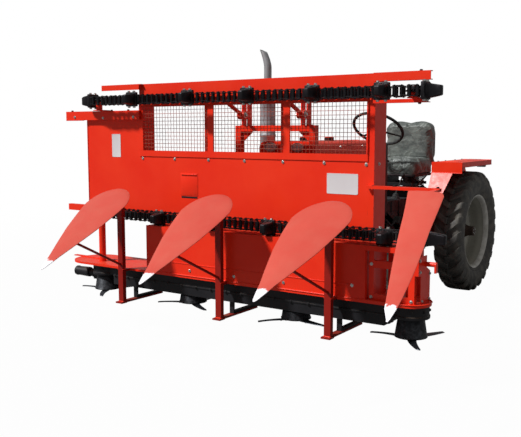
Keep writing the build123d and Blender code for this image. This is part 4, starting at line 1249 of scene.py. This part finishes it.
def footboard_details():
    """Raised tread bars on the boards, and the pedals with their rubber pads."""
    pads, arms = [], []
    bar_piece = bevelled(block("tread", -18, 18, -2.6, 2.6, 0, 3), 1.2, 1)
    places = []
    for side in (1, -1):
        for i in range(4):
            for k in range(15):
                turn = 45 if (i + k) % 2 else -45
                places.append(at(side * (288 + 42 * i), 505 + 34 * k, 551, turn))
    placed(repeated("board_tread", bar_piece, places), "chassis", RED, "red_paint")
    for x, w in ((290, 60), (-270, 44), (-330, 44)):
        pad = block("pad", x - w / 2, x + w / 2, -34, 34, -6, 6)
        bevelled(pad, 5, 3)
        ridge = bevelled(block("ridge", x - w / 2 + 5, x + w / 2 - 5, -3, 3, 5, 9), 1.2, 1)
        pad = joined("pad", [pad, repeated("ridges", ridge, [at(0, -24 + 12 * j, 0) for j in range(5)])])
        pad.data.transform(at(0, 560, 690, 52, "X"))
        pads.append(pad)
        arms.append(bar("arm", (x, 556, 684), (x * 0.92, 500, 640), 8, 12))
        arms.append(bar("arm", (x * 0.92, 500, 640), (x * 0.86, 430, 700), 8, 12))
    group("pedal_pads", pads, "chassis", GRIP, "wheel_plastic")
    group("pedal_arms", arms, "chassis", BLACK, "black_steel")


footboard_details()


# Tractor: engine, gearbox and axles

def cover(name, x0, x1, y0, y1, z0, z1, look, inset=14.0, raised=5.0):
    """Cast cover with rounded corners and a raised middle, on the side that it looks along."""
    axis = max(range(3), key=lambda k: abs(look[k]))
    piece = rounded(block(name, x0, x1, y0, y1, z0, z1), axis, inset, 4)
    edit(piece)
    pick(facing(look))
    bpy.ops.mesh.inset(thickness=inset * MM)
    bpy.ops.mesh.inset(thickness=raised * MM)
    move_pick(*(Vector(look) * raised))
    leave()
    return bevelled(piece, 1.5, 2)


def around(x, y0, y1, z0, z1, look, step):
    """Bolt places round the rim of a side cover that lies at x."""
    gaps = max(1, int((y1 - y0) / step))
    return [((x, y0 + (y1 - y0) * k / gaps, z), look) for k in range(gaps + 1) for z in (z0, z1)]


def engine_details():
    """Side covers, starter, oil filter, injection pump with its pipes, and the fan belt's pulleys."""
    cast, heads = [], []
    for side in (1, -1):
        face = side * 160
        x0, x1 = sorted((face - side * 2, face + side * 9))
        cast.append(cover("block_cover", x0, x1, -520, 290, 640, 800, X * side))
        heads += around(face + side * 9, -508, 278, 650, 790, X * side, 130)
        for k in range(6):
            y = -500 + 155 * k
            x0, x1 = sorted((face - side * 2, face + side * 22))
            rib = block("rib", x0, x1, y - 7, y + 7, 562, 640)
            cast.append(bevelled(narrowed(rib, Z, (0.5, 1, 1), (face, y, 640)), 3, 2))
        x0, x1 = sorted((side * 118, side * 132))
        cast.append(bevelled(block("sump_rail", x0, x1, -520, 300, 548, 562), 3, 2))
        heads += [((side * 126, -505 + 72 * k, 548), -Z) for k in range(12)]
    starter = [(-110, 0), (-110, 34), (-104, 40), (30, 40), (34, 44), (70, 44), (76, 38), (92, 30), (96, 0)]
    solenoid = [(-60, 0), (-60, 26), (60, 26), (66, 20), (66, 0)]
    oil_filter = [(0, 0), (0, 34), (8, 38), (14, 40), (84, 40), (94, 34), (98, 20), (98, 0)]
    for profile, middle, axis in ((starter, (206, 180, 690), Y), (solenoid, (206, 200, 742), Y),
                                  (oil_filter, (168, -60, 700), X)):
        cast.append(spun("turned", profile, middle, axis, 32))
    cast.append(cover("pump", 168, 232, -420, -190, 690, 770, X))
    delivery = [(0, 0), (0, 12), (14, 12), (16, 8), (34, 8), (34, 0)]
    for k in range(4):
        y = -395 + 52 * k
        cast.append(spun("delivery", delivery, (198, y, 768), Z, 16))
        cast.append(bar("pipe", (198, y, 800), (172, y, 830), 3.5, 8))
    for x, z, r in ((0, 700, 70), (0, 560, 46), (-130, 640, 36)):
        groove = [(-12, 0), (-12, r), (-6, r - 6), (0, r - 10), (6, r - 6), (12, r), (12, 0)]
        cast.append(spun("pulley", groove, (x, -566, z), Y, 40))
    generator = [(-60, 0), (-60, 34), (-50, 48), (50, 48), (60, 34), (60, 0)]
    cast.append(spun("generator", generator, (-215, -480, 700), Y, 32))
    cast.append(bar("dipstick", (174, 60, 650), (190, 66, 835), 4, 8))
    group("engine_castings", cast, "chassis", IRON, "engine_iron")
    bolts("engine_bolts", "chassis", heads, 6.5, 9, IRON)


engine_details()


def gearbox_details():
    """Flanges, ribs and trumpet housings of the rear axle, with two levers."""
    cast, heads = [], []
    flanges = ((332, 178, 462, 818), (482, 178, 422, 826), (1252, 188, 374, 826), (1556, 188, 374, 826))
    for y, half, low, top in flanges:
        for x0, x1 in ((-half, -half + 40), (half - 40, half)):
            cast.append(bevelled(block("flange", x0, x1, y - 11, y + 11, low, top), 4, 2))
        cast.append(bevelled(block("flange", -half, half, y - 11, y + 11, top - 30, top), 4, 2))
        for side in (1, -1):
            heads += [((side * (half - 12), y + 11, low + 24 + (top - low - 48) * k / 5), Y)
                      for k in range(6)]
    trumpet = [(176, 150), (176, 156), (194, 156), (196, 140), (230, 118), (300, 98), (420, 92),
               (436, 108), (452, 108), (452, 84)]
    for side in (1, -1):
        x0, x1 = sorted((side * 138, side * 150))
        for y in (620, 780, 940, 1100):
            cast.append(bevelled(block("rib", x0, x1, y - 6, y + 6, 440, 812), 3, 2))
        cast.append(cover("side_cover", *sorted((side * 138, side * 148)), 640, 920, 560, 720, X * side))
        heads += around(side * 148, 652, 908, 570, 710, X * side, 90)
        cast.append(turned("trumpet", trumpet, side, (0, REAR_Y, REAR_R), 48))
        flange = (side * 194, REAR_Y, REAR_R)
        heads += [(spot, X * side) for spot, _ in circled(flange, X, 147, 8)]
        for k in range(4):
            fin = block("fin", *sorted((side * 196, side * 300)), -5, 5, 84, 138)
            bevelled(narrowed(fin, X * side, (1, 1, 0.25), (side * 300, 0, 84)), 2, 2)
            fin.data.transform(at(0, REAR_Y, REAR_R, 90 * k + math.degrees(0.4), "X"))
            cast.append(fin)
    drain = [(0, 0), (0, 26), (-8, 24), (-10, 14), (-20, 12), (-20, 0)]
    cast.append(spun("drain", drain, (0, REAR_Y, 380), Z, 24))
    group("gearbox_castings", cast, "chassis", IRON, "engine_iron")
    bolts("gearbox_bolts", "chassis", heads, 8, 11, IRON)
    gaiter = [(0, 40), (10, 38), (16, 30), (24, 33), (32, 24), (40, 26), (52, 12), (52, 0)]
    knob = [(-22, 7), (-14, 15), (0, 20), (14, 15), (20, 6), (21, 0)]
    levers, knobs = [], []
    for x, y, lean in ((-60, 640, -40), (90, 980, 50)):
        levers.append(spun("gaiter", gaiter, (x, y, 820), Z, 28))
        levers.append(bar("lever", (x, y, 860), (x + lean, y + 30, 1020), 7, 16))
        knobs.append(spun("knob", knob, (x + lean, y + 30, 1030), Z, 28))
    group("shift_levers", levers + knobs, "chassis", GRIP, "wheel_plastic")


gearbox_details()


KINGPIN_X = 400


def front_axle_details():
    """Kingpin caps and grease nipples, steering arms, webs on the beam and the pivot's cap."""
    pivot_cap = [(-98, 0), (-98, 30), (-92, 40), (-84, 44), (-84, 0)]
    cast = [spun("pivot_cap", pivot_cap, (0, FRONT_Y, 430), Y, 36)]
    kingpin_cap = [(0, 0), (0, 31), (7, 30), (14, 22), (18, 8), (24, 6), (24, 0)]
    eye_ring = [(-10, 8), (-10, 19), (10, 19), (10, 8), (-10, 8)]
    for side in (1, -1):
        x0, x1 = sorted((side * 60, side * 352))
        web = block("beam_web", x0, x1, FRONT_Y - 46, FRONT_Y - 38, 414, 456)
        cast.append(bevelled(narrowed(web, -Y, (0.94, 1, 0.55), ((x0 + x1) / 2, 0, 435)), 3, 2))
        pin_x = side * KINGPIN_X
        arm = block("arm", pin_x - 13, pin_x + 13, FRONT_Y, FRONT_Y + 120, 466, 479)
        bevelled(narrowed(arm, Y, (0.7, 1, 0.8), (pin_x, 0, 472)), 3, 2)
        eye = spun("eye", eye_ring, (pin_x, FRONT_Y + 126, 473), Z, 28)
        cap = spun("kingpin_cap", kingpin_cap, (pin_x, FRONT_Y, 480), Z, 32)
        word = "left" if side > 0 else "right"
        group(f"steering_arm_{word}", [arm, eye, cap], f"knuckle_{word}", IRON, "engine_iron")
    group("front_axle_castings", cast, "chassis", IRON, "engine_iron")
    heads = [((x, FRONT_Y + y, 466), -Z) for x in (-48, 48) for y in (-86, 86)]
    bolts("front_axle_bolts", "chassis", heads, 8, 11, IRON)


front_axle_details()


# Links between tractor and header

def pivot_pins():
    """Pin heads with their washers on the outer cheeks of every pivot, and the frame's bolts."""
    chassis, header = [], []
    for x, z in ((300, 620), (240, 1520)):
        for side in (1, -1):
            chassis += [((side * (x + 27), -880, z), X * side), ((side * (x - 27), -880, z), X * -side)]
            header += [((side * (x + 27), -1115.6, z + 109.9), X * side),
                       ((side * (x - 27), -1115.6, z + 109.9), X * -side)]
    bolts("tractor_pivot_pins", "chassis", chassis, 13, 19)
    bolts("header_pivot_pins", "header", header, 13, 19)
    frame_heads = [((side * 322, y, z), X * side)
                   for side in (1, -1) for y in (-838, -812) for z in (560, 600)]
    frame_heads += [((side * 250, y, z), X * side) for side in (1, -1)
                    for y in (-700, -640, -170, -90, 380, 440, 1180, 1240) for z in (498, 524)]
    bolts("frame_bolts", "chassis", frame_heads, 9, 13)
    welds = []
    for side in (1, -1):
        for z in (480, 541, 1410, 1451):
            welds.append(bead((side * 277, -849, z), (side * 277, -801, z)))
        gusset = block("gusset", *sorted((side * 190, side * 276)), -829, -821, 1330, 1410)
        edit(gusset, "VERT")
        pick(lambda v: abs(v.co.x) < 0.2 and v.co.z < 1.35, "verts")
        move_pick(z=74)
        leave()
        welds.append(bevelled(gusset, 1.5, 1))
    group("portal_welds", welds, "chassis", RED, "red_paint", 60)


pivot_pins()


def cylinder_details():
    """Gland with its wiper, a ring and two port fittings on the lift cylinder."""
    foot, run = Vector((0, -890, 480)), Vector((0, -0.47324, 0.88093))
    gland = spun("gland", [(240, 31), (240, 35), (262, 35), (266, 30), (266, 17)], foot, run, 36)
    ring = spun("ring", [(60, 31), (60, 34), (70, 34), (70, 31)], foot, run, 36)
    ports = []
    for reach in (80, 230):
        spot = foot + run * reach
        ports.append(spun("port", [(26, 0), (26, 10), (38, 10), (40, 7), (48, 7), (48, 0)], spot, X, 16))
    group("cylinder_fittings", [gland, ring] + ports, "lift_barrel", BLACK, "black_steel")


cylinder_details()


# Header: gear case, end frame and skirt trims

HOUSE_R = 98.0


def gear_case_details():
    """Parting line and bolts of the long case, rings round its end houses, and the shaft's guard."""
    front = -1440
    house_ring = [(398, 97), (396, 101), (402, 103), (412, 103), (416, 98)]
    lip = bevelled(block("parting", -950, 1110, front - 6, front, 404, 414), 2, 2)
    parts = [lip]
    heads = [((-930 + 120 * k, front - 6, 409), -Y) for k in range(17)]
    for x in (-1100, 1230):
        parts.append(spun("house_ring", house_ring, (x, CUTTER_Y, 0), Z, 48))
        heads += circled((x, CUTTER_Y, 440), Z, HOUSE_R, 8)
    shaft = (0, -1300, 372)
    collar = [(-1264, 0), (-1264, 30), (-1272, 34), (-1290, 34), (-1296, 24)]
    parts.append(spun("collar", collar, shaft, X, 32))
    guard = [(-1330, 20), (-1328, 30), (-1334, 36), (-1350, 36), (-1440, 33), (-1456, 36), (-1466, 35),
             (-1466, 24), (-1450, 22), (-1450, 0)]
    parts.append(spun("shaft_guard", guard, shaft, X, 40))
    group("gear_case_trims", parts, "header", BLACK, "black_steel")
    bolts("gear_case_bolts", "header", heads, 7, 10, BLACK)


gear_case_details()


def sheet_trims():
    """Rolled front lip of the deck, a fold across the skirt and bolts of the end frame."""
    end_x, end_r, z = 1225, 118, 487
    lips = [bar("lip", (-560, -1481, z), (end_x, -1481, z), 4.5, 12)]
    bead_ring = [(-4.5, end_r), (0, end_r + 4.5), (4.5, end_r), (0, end_r - 4.5), (-4.5, end_r)]
    sweep = spun("lip", bead_ring, (end_x, -1362, z), Z, 64)
    edit(sweep, "VERT")
    pick(lambda v: v.co.x < (end_x - 1) * MM, "verts")
    bpy.ops.mesh.delete(type="VERT")
    leave()
    lips.append(sweep)
    fold = block("fold", -596, 920, -1482.5, -1479.5, 560, 567)
    lips.append(bevelled(fold, 1.2, 2))
    group("deck_lip", lips, "header", RED, "red_paint", 60)
    heads = [((x, -1455, z), -Y) for x in (1035, 1270) for z in (503, 688)]
    side_spots = ((-1435, 665), (-1435, 725), (-1400, 500), (-1300, 500), (-1300, 640))
    heads += [((1309, y, z), X) for y, z in side_spots]
    heads += [((x, -1396, 400), Y) for x in (-775, 50, 815)]
    bolts("end_frame_bolts", "header", heads, 7, 10)


sheet_trims()
